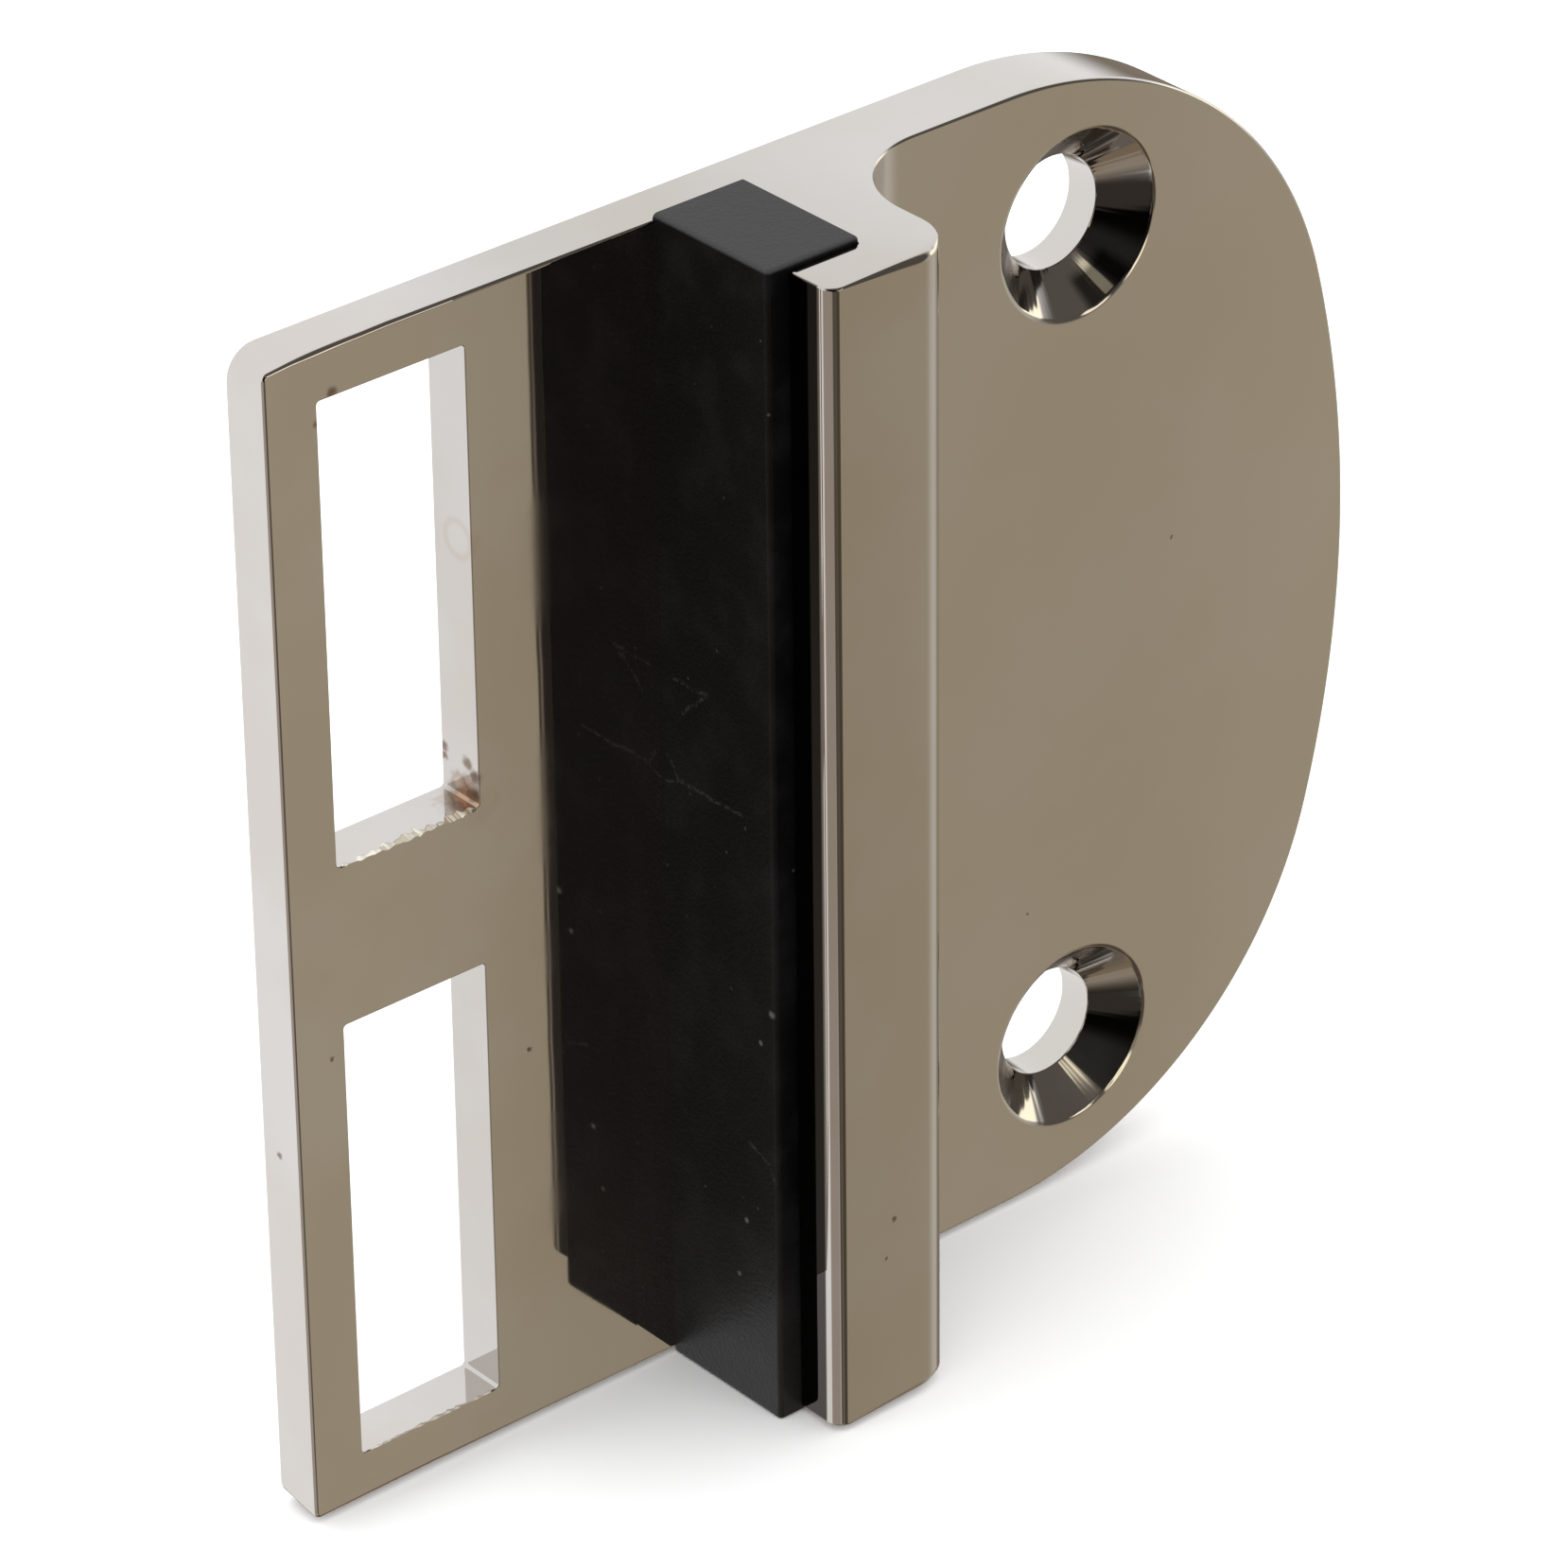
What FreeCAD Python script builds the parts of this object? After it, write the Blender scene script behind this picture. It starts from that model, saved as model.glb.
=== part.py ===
import FreeCAD, Part
import math
import os
import Sketcher

# Door strike plate with a rubber door buffer, in millimetres.
# The jamb side is flat, at y = 0 and facing +Y. The show side faces -Y.
# The origin lies midway between the two screw holes. X runs along the plate
# from the bolt openings towards the round end, and Z is up.
# The metal is one piece. Its cross-section is a flat plate with a rib that
# stands out of it, and the rib's lip hooks back over the rubber buffer.

Vector = FreeCAD.Vector

SIZES = [
    ("plate_height", 60.3, "bottom edge to top edge"),
    ("leaf_thickness", 2.7, "plate that has the bolt openings"),
    ("screw_plate_thickness", 3.9, "plate that has the screw holes"),
    ("round_end_corner_radius", 20.7, "upper and lower arcs of the round end"),
    ("round_end_side_radius", 56.5, "long shallow arc between those two"),
    ("upper_left_round", 1.6, "outline corner above the openings"),
    ("lower_left_round", 0.9, "outline corner below the openings"),
    ("rib_from_left", 27.3, "left edge to the rib's left face"),
    ("rib_thickness", 3.7, "rib between its two side faces"),
    ("holes_from_rib", 15.5, "rib's right face to the line through the screw holes"),
    ("round_end_reach", 17.7, "that line to the far point of the round end"),
    ("rib_root_radius", 5.25, "hollow from the screw plate up to the rib"),
    ("rib_shoulder_radius", 2.8, "round at the rib's outer right corner"),
    ("lip_overhang", 4.2, "lip's reach to the left of the rib"),
    ("lip_thickness", 2.7, "lip from back to front"),
    ("lip_nose_radius", 0.8, "lip's outer left corner"),
    ("buffer_width", 5.45, "rubber buffer along X"),
    ("buffer_depth", 7.8, "rubber buffer along Y"),
    ("buffer_gap", 0.1, "room between the rubber and the lip"),
    ("buffer_proud", 0.35, "rubber past the plate's upper and lower edge, each"),
    ("buffer_edge_round", 0.25, "rubber's own front edges and both ends"),
    ("opening_from_left", 2.85, "left edge to the openings' left sides"),
    ("opening_width", 8.2, "each bolt opening along X"),
    ("opening_end_margin", 2.5, "metal above the upper and below the lower one"),
    ("opening_bridge", 8.3, "metal between the two openings"),
    ("opening_corner_radius", 0.2, "inner corners of the openings"),
    ("holes_from_ends", 7.925, "each screw hole to the plate's nearer end"),
    ("hole_diameter", 5.7, "clear hole for the screw's shank"),
    ("countersink_diameter", 9.65, "wide end of the screw head's seat"),
    ("countersink_angle", 90.0, "whole angle of that seat, in degrees"),
    ("polish_round", 0.2, "softened outer edges of the show side"),
]

# Sizes that follow from the others, as formulas in the same sheet.
DERIVED_SIZES = [
    ("left_reach", "=rib_from_left + rib_thickness + holes_from_rib",
     "left edge to the line through the screw holes"),
    ("plate_width", "=left_reach + round_end_reach", "left edge to the far point"),
    ("lip_back", "=leaf_thickness + buffer_depth + buffer_gap", "jamb side to lip's back"),
    ("lip_front", "=lip_back + lip_thickness", "jamb side to lip's front"),
    ("opening_height", "=(plate_height - opening_bridge) / 2 - opening_end_margin",
     "each bolt opening along Z"),
    ("hole_spacing", "=plate_height - 2 * holes_from_ends", "screw hole to screw hole"),
]

# The trimming frame and the blank reach this far past the finished outline.
TRIM_REACH = 1.5

# Two places nearer than this are the same place.
TOUCH = 1e-4

# How a sketch's constraints number its axes and the points of a curve.
# Point 1 of the X axis is the sketch's origin.
X_AXIS, Y_AXIS = range(-1, -3, -1)
_, FIRST_POINT, END_POINT, CENTRE_POINT = range(4)

doc = FreeCAD.newDocument("strike_plate")
sheet = doc.addObject("Spreadsheet::Sheet", "Sizes")
for row, (alias, value, meaning) in enumerate(SIZES + DERIVED_SIZES, start=1):
    sheet.set(f"A{row}", alias)
    sheet.set(f"B{row}", str(value))
    sheet.set(f"C{row}", meaning)
    sheet.setAlias(f"B{row}", alias)
doc.recompute()


def size(alias):
    return float(sheet.get(alias))


def origin_plane(body, role):
    for feature in body.Origin.OriginFeatures:
        if feature.Role == role:
            return feature
    raise ValueError(f"no {role} in {body.Label}")


def new_body(label):
    body = doc.addObject("PartDesign::Body", label)
    body.Label = label
    body.Placement = FreeCAD.Placement()
    return body


def new_sketch(body, name, role):
    sketch = body.newObject("Sketcher::SketchObject", name)
    sketch.AttachmentSupport = [(origin_plane(body, role), "")]
    sketch.MapMode = "FlatFace"
    return sketch


def add_line(sketch, start, end):
    segment = Part.LineSegment(Vector(*start, 0), Vector(*end, 0))
    return sketch.addGeometry(segment, False)


def add_arc(sketch, centre, radius, start_deg, end_deg):
    circle = Part.Circle(Vector(*centre, 0), Vector(0, 0, 1), radius)
    arc = Part.ArcOfCircle(circle, math.radians(start_deg), math.radians(end_deg))
    return sketch.addGeometry(arc, False)


def relate(sketch, kind, *numbers):
    return sketch.addConstraint(Sketcher.Constraint(kind, *numbers))


def drive(sketch, expression, kind, *numbers):
    index = relate(sketch, kind, *numbers)
    sketch.setExpression(f"Constraints[{index}]", expression)
    return index


def drive_radius(sketch, arc, radius, alias):
    drive(sketch, f"Sizes.{alias}", "Radius", arc, radius)


def finish_step(body, feature):
    """Recompute after a step and return the body's volume."""
    body.Tip = feature
    doc.recompute()
    if not feature.isValid() or feature.Shape.isNull():
        raise RuntimeError(f"{feature.Label} failed")
    return body.Shape.Volume


# Places worked out once from the sizes, for the sketches' first guesses.
left_x = -size("left_reach")
rib_left_x = left_x + size("rib_from_left")
rib_right_x = rib_left_x + size("rib_thickness")
lip_left_x = rib_left_x - size("lip_overhang")
leaf_front_y = -size("leaf_thickness")
screw_plate_y = -size("screw_plate_thickness")
lip_back_y = -size("lip_back")
lip_front_y = -size("lip_front")
half_height = size("plate_height") / 2
blank_right_x = left_x + size("plate_width") + TRIM_REACH


def draw_section(body):
    """The metal's cross-section, seen along Z: plate, rib and hooked lip."""
    nose = size("lip_nose_radius")
    shoulder = size("rib_shoulder_radius")
    root = size("rib_root_radius")
    sketch = new_sketch(body, "section", "XY_Plane")
    left_edge = add_line(sketch, (left_x, 0), (left_x, leaf_front_y))
    leaf_front = add_line(sketch, (left_x, leaf_front_y), (rib_left_x, leaf_front_y))
    rib_left = add_line(sketch, (rib_left_x, leaf_front_y), (rib_left_x, lip_back_y))
    lip_back = add_line(sketch, (rib_left_x, lip_back_y), (lip_left_x, lip_back_y))
    lip_end = add_line(sketch, (lip_left_x, lip_back_y), (lip_left_x, lip_front_y + nose))
    nose_arc = add_arc(sketch, (lip_left_x + nose, lip_front_y + nose), nose, 180, 270)
    lip_front = add_line(sketch, (lip_left_x + nose, lip_front_y),
                         (rib_right_x - shoulder, lip_front_y))
    shoulder_arc = add_arc(sketch, (rib_right_x - shoulder, lip_front_y + shoulder),
                           shoulder, 270, 360)
    rib_right = add_line(sketch, (rib_right_x, lip_front_y + shoulder),
                         (rib_right_x, screw_plate_y - root))
    root_arc = add_arc(sketch, (rib_right_x + root, screw_plate_y - root), root, 90, 180)
    screw_face = add_line(sketch, (rib_right_x + root, screw_plate_y),
                          (blank_right_x, screw_plate_y))
    blank_end = add_line(sketch, (blank_right_x, screw_plate_y), (blank_right_x, 0))
    back = add_line(sketch, (blank_right_x, 0), (left_x, 0))

    sharp_joints = [(left_edge, leaf_front), (leaf_front, rib_left), (rib_left, lip_back),
                    (lip_back, lip_end), (screw_face, blank_end), (blank_end, back),
                    (back, left_edge)]
    for before, after in sharp_joints:
        relate(sketch, "Coincident", before, END_POINT, after, FIRST_POINT)
    # Each arc runs anticlockwise. The root arc is met at its other end first.
    relate(sketch, "Tangent", lip_end, END_POINT, nose_arc, FIRST_POINT)
    relate(sketch, "Tangent", nose_arc, END_POINT, lip_front, FIRST_POINT)
    relate(sketch, "Tangent", lip_front, END_POINT, shoulder_arc, FIRST_POINT)
    relate(sketch, "Tangent", shoulder_arc, END_POINT, rib_right, FIRST_POINT)
    relate(sketch, "Tangent", rib_right, END_POINT, root_arc, END_POINT)
    relate(sketch, "Tangent", root_arc, FIRST_POINT, screw_face, FIRST_POINT)
    for upright in (left_edge, rib_left, lip_end, rib_right, blank_end):
        relate(sketch, "Vertical", upright)
    for level in (leaf_front, lip_back, lip_front, screw_face, back):
        relate(sketch, "Horizontal", level)

    relate(sketch, "PointOnObject", left_edge, FIRST_POINT, X_AXIS)
    drive(sketch, "Sizes.left_reach", "DistanceX",
          left_edge, FIRST_POINT, X_AXIS, FIRST_POINT, -left_x)
    drive(sketch, "Sizes.leaf_thickness", "DistanceY",
          left_edge, END_POINT, left_edge, FIRST_POINT, -leaf_front_y)
    drive(sketch, "Sizes.rib_from_left", "DistanceX",
          leaf_front, FIRST_POINT, leaf_front, END_POINT, rib_left_x - left_x)
    drive(sketch, "Sizes.lip_back", "DistanceY",
          lip_back, FIRST_POINT, X_AXIS, FIRST_POINT, -lip_back_y)
    drive(sketch, "Sizes.lip_overhang", "DistanceX",
          lip_back, END_POINT, lip_back, FIRST_POINT, rib_left_x - lip_left_x)
    drive(sketch, "Sizes.lip_front", "DistanceY",
          lip_front, FIRST_POINT, X_AXIS, FIRST_POINT, -lip_front_y)
    drive(sketch, "Sizes.rib_thickness", "DistanceX",
          rib_left, FIRST_POINT, rib_right, END_POINT, rib_right_x - rib_left_x)
    drive(sketch, "Sizes.screw_plate_thickness", "DistanceY",
          blank_end, FIRST_POINT, blank_end, END_POINT, -screw_plate_y)
    drive(sketch, f"Sizes.plate_width + {TRIM_REACH}", "DistanceX",
          back, END_POINT, back, FIRST_POINT, blank_right_x - left_x)
    drive_radius(sketch, nose_arc, nose, "lip_nose_radius")
    drive_radius(sketch, shoulder_arc, shoulder, "rib_shoulder_radius")
    drive_radius(sketch, root_arc, root, "rib_root_radius")
    return sketch


def draw_outline(body):
    """The finished outline, seen along Y, inside a frame that is cut away."""
    corner = size("round_end_corner_radius")
    side = size("round_end_side_radius")
    upper_left = size("upper_left_round")
    lower_left = size("lower_left_round")
    side_centre_x = left_x + size("plate_width") - side
    corner_z = half_height - corner
    run = math.sqrt((side - corner) ** 2 - corner_z ** 2)
    corner_x = side_centre_x + run
    meet_deg = math.degrees(math.atan2(corner_z, run))

    sketch = new_sketch(body, "outline", "XZ_Plane")
    top = add_line(sketch, (left_x + upper_left, half_height), (corner_x, half_height))
    upper_arc = add_arc(sketch, (corner_x, corner_z), corner, meet_deg, 90)
    side_arc = add_arc(sketch, (side_centre_x, 0), side, -meet_deg, meet_deg)
    lower_arc = add_arc(sketch, (corner_x, -corner_z), corner, 270, 360 - meet_deg)
    bottom = add_line(sketch, (corner_x, -half_height), (left_x + lower_left, -half_height))
    lower_left_arc = add_arc(sketch, (left_x + lower_left, -half_height + lower_left),
                             lower_left, 180, 270)
    left = add_line(sketch, (left_x, -half_height + lower_left),
                    (left_x, half_height - upper_left))
    upper_left_arc = add_arc(sketch, (left_x + upper_left, half_height - upper_left),
                             upper_left, 90, 180)

    relate(sketch, "Tangent", top, END_POINT, upper_arc, END_POINT)
    relate(sketch, "Tangent", upper_arc, FIRST_POINT, side_arc, END_POINT)
    relate(sketch, "Tangent", side_arc, FIRST_POINT, lower_arc, END_POINT)
    relate(sketch, "Tangent", lower_arc, FIRST_POINT, bottom, FIRST_POINT)
    relate(sketch, "Tangent", bottom, END_POINT, lower_left_arc, END_POINT)
    relate(sketch, "Tangent", lower_left_arc, FIRST_POINT, left, FIRST_POINT)
    relate(sketch, "Tangent", left, END_POINT, upper_left_arc, END_POINT)
    relate(sketch, "Tangent", upper_left_arc, FIRST_POINT, top, FIRST_POINT)
    relate(sketch, "Horizontal", top)
    relate(sketch, "Horizontal", bottom)
    relate(sketch, "Vertical", left)
    relate(sketch, "PointOnObject", side_arc, CENTRE_POINT, X_AXIS)
    drive(sketch, "Sizes.plate_height / 2", "DistanceY",
          X_AXIS, FIRST_POINT, top, FIRST_POINT, half_height)
    drive(sketch, "Sizes.plate_height / 2", "DistanceY",
          bottom, FIRST_POINT, X_AXIS, FIRST_POINT, half_height)
    drive(sketch, "Sizes.left_reach", "DistanceX",
          left, FIRST_POINT, X_AXIS, FIRST_POINT, -left_x)
    drive(sketch, "Sizes.left_reach + Sizes.round_end_side_radius - Sizes.plate_width",
          "DistanceX", side_arc, CENTRE_POINT, X_AXIS, FIRST_POINT, -side_centre_x)
    drive_radius(sketch, upper_arc, corner, "round_end_corner_radius")
    drive_radius(sketch, lower_arc, corner, "round_end_corner_radius")
    drive_radius(sketch, side_arc, side, "round_end_side_radius")
    drive_radius(sketch, upper_left_arc, upper_left, "upper_left_round")
    drive_radius(sketch, lower_left_arc, lower_left, "lower_left_round")

    frame_left = left_x - TRIM_REACH
    frame_right = blank_right_x + TRIM_REACH
    frame_z = half_height + 2 * TRIM_REACH
    corners = [(frame_left, -frame_z), (frame_right, -frame_z),
               (frame_right, frame_z), (frame_left, frame_z)]
    draw_rectangle(sketch, corners)
    return sketch, [frame_left, frame_right, frame_z]


def draw_rectangle(sketch, corners):
    """Four lines through four corners, level and upright, joined at the ends."""
    lines = []
    for index, start in enumerate(corners):
        lines.append(add_line(sketch, start, corners[(index + 1) % len(corners)]))
    for index, line in enumerate(lines):
        following = lines[(index + 1) % len(lines)]
        relate(sketch, "Coincident", line, END_POINT, following, FIRST_POINT)
        relate(sketch, "Horizontal" if index % 2 == 0 else "Vertical", line)
    return lines


def fix_frame(sketch, first_line, reach):
    """Tie the trimming frame to the outline's own sizes."""
    left, right, up = reach
    bottom, right_side, top = first_line, first_line + 1, first_line + 2
    drive(sketch, f"Sizes.left_reach + {TRIM_REACH}", "DistanceX",
          bottom, FIRST_POINT, X_AXIS, FIRST_POINT, -left)
    drive(sketch, f"Sizes.plate_width - Sizes.left_reach + 2 * {TRIM_REACH}",
          "DistanceX", X_AXIS, FIRST_POINT, right_side, FIRST_POINT, right)
    drive(sketch, f"Sizes.plate_height / 2 + 2 * {TRIM_REACH}", "DistanceY",
          bottom, FIRST_POINT, X_AXIS, FIRST_POINT, up)
    drive(sketch, f"Sizes.plate_height / 2 + 2 * {TRIM_REACH}", "DistanceY",
          X_AXIS, FIRST_POINT, top, FIRST_POINT, up)


def draw_opening(body):
    """The lower bolt opening, a rectangle with small round corners."""
    radius = size("opening_corner_radius")
    x0 = left_x + size("opening_from_left")
    x1 = x0 + size("opening_width")
    z0 = -half_height + size("opening_end_margin")
    z1 = z0 + size("opening_height")
    sketch = new_sketch(body, "lower_opening", "XZ_Plane")
    low = add_line(sketch, (x0 + radius, z0), (x1 - radius, z0))
    right = add_line(sketch, (x1, z0 + radius), (x1, z1 - radius))
    high = add_line(sketch, (x1 - radius, z1), (x0 + radius, z1))
    left = add_line(sketch, (x0, z1 - radius), (x0, z0 + radius))
    arcs = [add_arc(sketch, (x1 - radius, z0 + radius), radius, 270, 360),
            add_arc(sketch, (x1 - radius, z1 - radius), radius, 0, 90),
            add_arc(sketch, (x0 + radius, z1 - radius), radius, 90, 180),
            add_arc(sketch, (x0 + radius, z0 + radius), radius, 180, 270)]
    sides = [low, right, high, left]
    for index, arc in enumerate(arcs):
        following = sides[(index + 1) % len(sides)]
        relate(sketch, "Tangent", sides[index], END_POINT, arc, FIRST_POINT)
        relate(sketch, "Tangent", arc, END_POINT, following, FIRST_POINT)
        drive_radius(sketch, arc, radius, "opening_corner_radius")
    relate(sketch, "Horizontal", low)
    relate(sketch, "Horizontal", high)
    relate(sketch, "Vertical", right)
    relate(sketch, "Vertical", left)
    drive(sketch, "Sizes.left_reach - Sizes.opening_from_left", "DistanceX",
          left, FIRST_POINT, X_AXIS, FIRST_POINT, -x0)
    drive(sketch, "Sizes.opening_width", "DistanceX",
          left, END_POINT, right, FIRST_POINT, x1 - x0)
    drive(sketch, "Sizes.plate_height / 2 - Sizes.opening_end_margin", "DistanceY",
          low, FIRST_POINT, X_AXIS, FIRST_POINT, -z0)
    drive(sketch, "Sizes.opening_height", "DistanceY",
          low, END_POINT, high, FIRST_POINT, z1 - z0)
    return sketch


def draw_hole_centre(body):
    """The lower screw hole's centre, on the face of the screw plate."""
    z = -size("hole_spacing") / 2
    sketch = new_sketch(body, "lower_screw_hole", "XZ_Plane")
    sketch.setExpression("AttachmentOffset.Base.z", "Sizes.screw_plate_thickness")
    circle = Part.Circle(Vector(0, z, 0), Vector(0, 0, 1), size("hole_diameter") / 2)
    ring = sketch.addGeometry(circle, False)
    relate(sketch, "PointOnObject", ring, CENTRE_POINT, Y_AXIS)
    drive(sketch, "Sizes.hole_spacing / 2", "DistanceY",
          ring, CENTRE_POINT, X_AXIS, FIRST_POINT, -z)
    drive(sketch, "Sizes.hole_diameter / 2", "Radius", ring, size("hole_diameter") / 2)
    return sketch


def pattern_upwards(body, name, original, sketch, expression):
    """A second copy of a cut, higher up the plate."""
    pattern = body.newObject("PartDesign::LinearPattern", name)
    pattern.Originals = [original]
    pattern.Direction = (sketch, ["V_Axis"])
    pattern.Mode = "Extent"
    pattern.Occurrences = 2
    pattern.setExpression("Length", expression)
    return pattern


def is_show_edge(edge):
    """Whether polishing has softened this edge: the show side's outer edges."""
    middle = edge.valueAt((edge.FirstParameter + edge.LastParameter) / 2)
    points = [vertex.Point for vertex in edge.Vertexes] + [middle]

    def all_at(distances):
        return all(abs(distance) < TOUCH for distance in distances)

    if any(abs(point.y) < TOUCH for point in points):
        return False
    if all_at(abs(point.z) - half_height for point in points):
        in_channel = all_at(point.x - rib_left_x for point in points) \
            or all_at(point.y - lip_back_y for point in points)
        return not in_channel
    if all_at(point.y - leaf_front_y for point in points):
        openings_left = left_x + size("opening_from_left")
        return all(point.x < openings_left - TOUCH for point in points)
    if all_at(point.y - screw_plate_y for point in points):
        return isinstance(edge.Curve, Part.Circle) and not edge.isClosed()
    return False


def make_strike_body():
    body = new_body("strike_body")
    blank = body.newObject("PartDesign::Pad", "blank")
    blank.Profile = draw_section(body)
    blank.SideType = "Symmetric"
    blank.setExpression("Length", f"Sizes.plate_height + 2 * {TRIM_REACH}")
    volume = finish_step(body, blank)

    outline, reach = draw_outline(body)
    fix_frame(outline, outline.GeometryCount - 4, reach)
    trim = body.newObject("PartDesign::Pocket", "trim_to_outline")
    trim.Profile = outline
    trim.SideType = "Symmetric"
    trim.setExpression("Length", f"2 * (Sizes.lip_front + {TRIM_REACH})")
    trimmed = finish_step(body, trim)
    check_removed("trim_to_outline", volume, trimmed)

    opening = body.newObject("PartDesign::Pocket", "bolt_opening")
    opening.Profile = draw_opening(body)
    opening.SideType = "Symmetric"
    opening.setExpression("Length", "2 * Sizes.lip_front")
    one_opening = finish_step(body, opening)
    check_removed("bolt_opening", trimmed, one_opening)
    openings = pattern_upwards(
        body, "bolt_openings", opening, opening.Profile[0],
        "Sizes.opening_height + Sizes.opening_bridge")
    two_openings = finish_step(body, openings)
    check_removed("bolt_openings", one_opening, two_openings)

    centre = draw_hole_centre(body)
    doc.recompute()
    hole = body.newObject("PartDesign::Hole", "screw_hole")
    hole.Profile = centre
    hole.ThreadType = "None"
    hole.DepthType = "ThroughAll"
    hole.setExpression("Diameter", "Sizes.hole_diameter")
    hole.HoleCutType = "Countersink"
    hole.HoleCutCustomValues = True
    hole.setExpression("HoleCutDiameter", "Sizes.countersink_diameter")
    hole.setExpression("HoleCutCountersinkAngle", "Sizes.countersink_angle")
    one_hole = finish_step(body, hole)
    check_removed("screw_hole", two_openings, one_hole)
    holes = pattern_upwards(body, "screw_holes", hole, centre, "Sizes.hole_spacing")
    two_holes = finish_step(body, holes)
    check_removed("screw_holes", one_hole, two_holes)

    polish = body.newObject("PartDesign::Fillet", "polished_edges")
    edges = []
    for number, edge in enumerate(holes.Shape.Edges, start=1):
        if is_show_edge(edge):
            edges.append(f"Edge{number}")
    polish.Base = (holes, edges)
    polish.setExpression("Radius", "Sizes.polish_round")
    polished = finish_step(body, polish)
    check_removed("polished_edges", two_holes, polished)
    return body


def check_removed(label, before, after):
    """Each cut must take metal away."""
    print(f"{label}: {before:.1f} -> {after:.1f} mm3")
    if not after < before:
        raise RuntimeError(f"{label} removed nothing")


def make_buffer_strip():
    body = new_body("buffer_strip")
    x1 = rib_left_x
    x0 = x1 - size("buffer_width")
    y1 = leaf_front_y
    y0 = y1 - size("buffer_depth")
    sketch = new_sketch(body, "buffer_section", "XY_Plane")
    sketch.setExpression("AttachmentOffset.Base.z",
                         "-Sizes.plate_height / 2 - Sizes.buffer_proud")
    front, right, back, left = draw_rectangle(sketch, [(x0, y0), (x1, y0), (x1, y1), (x0, y1)])
    drive(sketch, "Sizes.left_reach - Sizes.rib_from_left", "DistanceX",
          right, FIRST_POINT, X_AXIS, FIRST_POINT, -x1)
    drive(sketch, "Sizes.buffer_width", "DistanceX",
          front, FIRST_POINT, front, END_POINT, x1 - x0)
    drive(sketch, "Sizes.leaf_thickness", "DistanceY",
          back, FIRST_POINT, X_AXIS, FIRST_POINT, -y1)
    drive(sketch, "Sizes.buffer_depth", "DistanceY",
          right, FIRST_POINT, right, END_POINT, y1 - y0)
    bar = body.newObject("PartDesign::Pad", "buffer_bar")
    bar.Profile = sketch
    bar.setExpression("Length", "Sizes.plate_height + 2 * Sizes.buffer_proud")
    finish_step(body, bar)
    rounds = body.newObject("PartDesign::Fillet", "buffer_edges")
    end_z = half_height + size("buffer_proud")
    rounds.Base = (bar, free_buffer_edges(bar.Shape, y0, end_z))
    rounds.setExpression("Radius", "Sizes.buffer_edge_round")
    finish_step(body, rounds)
    return body


def free_buffer_edges(shape, front, end):
    """The bar's two long front edges and the four around each end."""
    names = []
    for number, edge in enumerate(shape.Edges, start=1):
        points = [vertex.Point for vertex in edge.Vertexes]
        is_front_upright = all(abs(point.y - front) < TOUCH for point in points) \
            and abs(points[0].z - points[1].z) > TOUCH
        is_at_end = all(abs(abs(point.z) - end) < TOUCH for point in points)
        if is_front_upright or is_at_end:
            names.append(f"Edge{number}")
    return names


subparts = [make_strike_body(), make_buffer_strip()]
doc.recompute()

for item in doc.Objects:
    if "Invalid" in item.State or "Error" in item.State:
        raise RuntimeError(f"{item.Label} is {item.State}")
for part in subparts:
    if part.Shape.isNull() or not part.Shape.isValid():
        raise RuntimeError(f"{part.Label} has no valid shape")
    if len(part.Shape.Solids) != 1:
        raise RuntimeError(f"{part.Label} should be one solid")

os.makedirs("parts", exist_ok=True)
for part in subparts:
    part.Shape.exportStep(os.path.join("parts", f"{part.Label}.step"))
    box = part.Shape.optimalBoundingBox(False, False)
    print(f"{part.Label}: {part.Shape.Volume:.1f} mm3,"
          f" x {box.XMin:.2f} to {box.XMax:.2f},"
          f" y {box.YMin:.2f} to {box.YMax:.2f},"
          f" z {box.ZMin:.2f} to {box.ZMax:.2f}")
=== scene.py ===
# %% [markdown]
# A door strike plate, dressed for its picture.
#
# The real thing is a plate of nickel-plated brass, polished until it mirrors the
# room, with a black rubber bar held in a channel. This lesson loads the solid model,
# builds a finer skin for each of its two solids, gives each a finish, and then sets
# the floor, the light and the camera.

# %% Load the solid model
import math
import random
from functools import reduce

import bmesh
import bpy
from mathutils import Matrix, Vector


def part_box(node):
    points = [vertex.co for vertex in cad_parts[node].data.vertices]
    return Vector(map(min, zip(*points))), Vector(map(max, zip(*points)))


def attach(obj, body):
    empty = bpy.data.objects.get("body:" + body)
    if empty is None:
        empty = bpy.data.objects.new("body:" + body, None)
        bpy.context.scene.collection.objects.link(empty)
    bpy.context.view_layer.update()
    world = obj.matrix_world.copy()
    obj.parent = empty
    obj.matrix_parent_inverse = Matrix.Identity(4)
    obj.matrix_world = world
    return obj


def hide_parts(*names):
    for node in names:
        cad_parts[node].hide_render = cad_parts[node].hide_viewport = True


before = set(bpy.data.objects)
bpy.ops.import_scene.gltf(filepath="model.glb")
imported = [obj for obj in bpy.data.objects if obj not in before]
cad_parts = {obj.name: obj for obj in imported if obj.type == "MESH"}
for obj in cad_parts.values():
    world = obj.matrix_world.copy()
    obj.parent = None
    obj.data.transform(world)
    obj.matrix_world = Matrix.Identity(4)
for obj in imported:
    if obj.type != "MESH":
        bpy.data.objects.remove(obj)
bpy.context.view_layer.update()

MM = 0.001
for node_name in sorted(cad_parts):
    low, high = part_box(node_name)
    print(node_name, [round(v / MM, 2) for v in (*low, *high)], "mm")

# %% [markdown]
# The picture decides how the lesson looks, so the camera comes first. It stands in
# front of the plate, to its left and above it, and a long lens keeps upright edges
# nearly parallel. A camera is easiest to place from angles: where it looks, how high
# it stands, and how much it is tipped.

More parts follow.
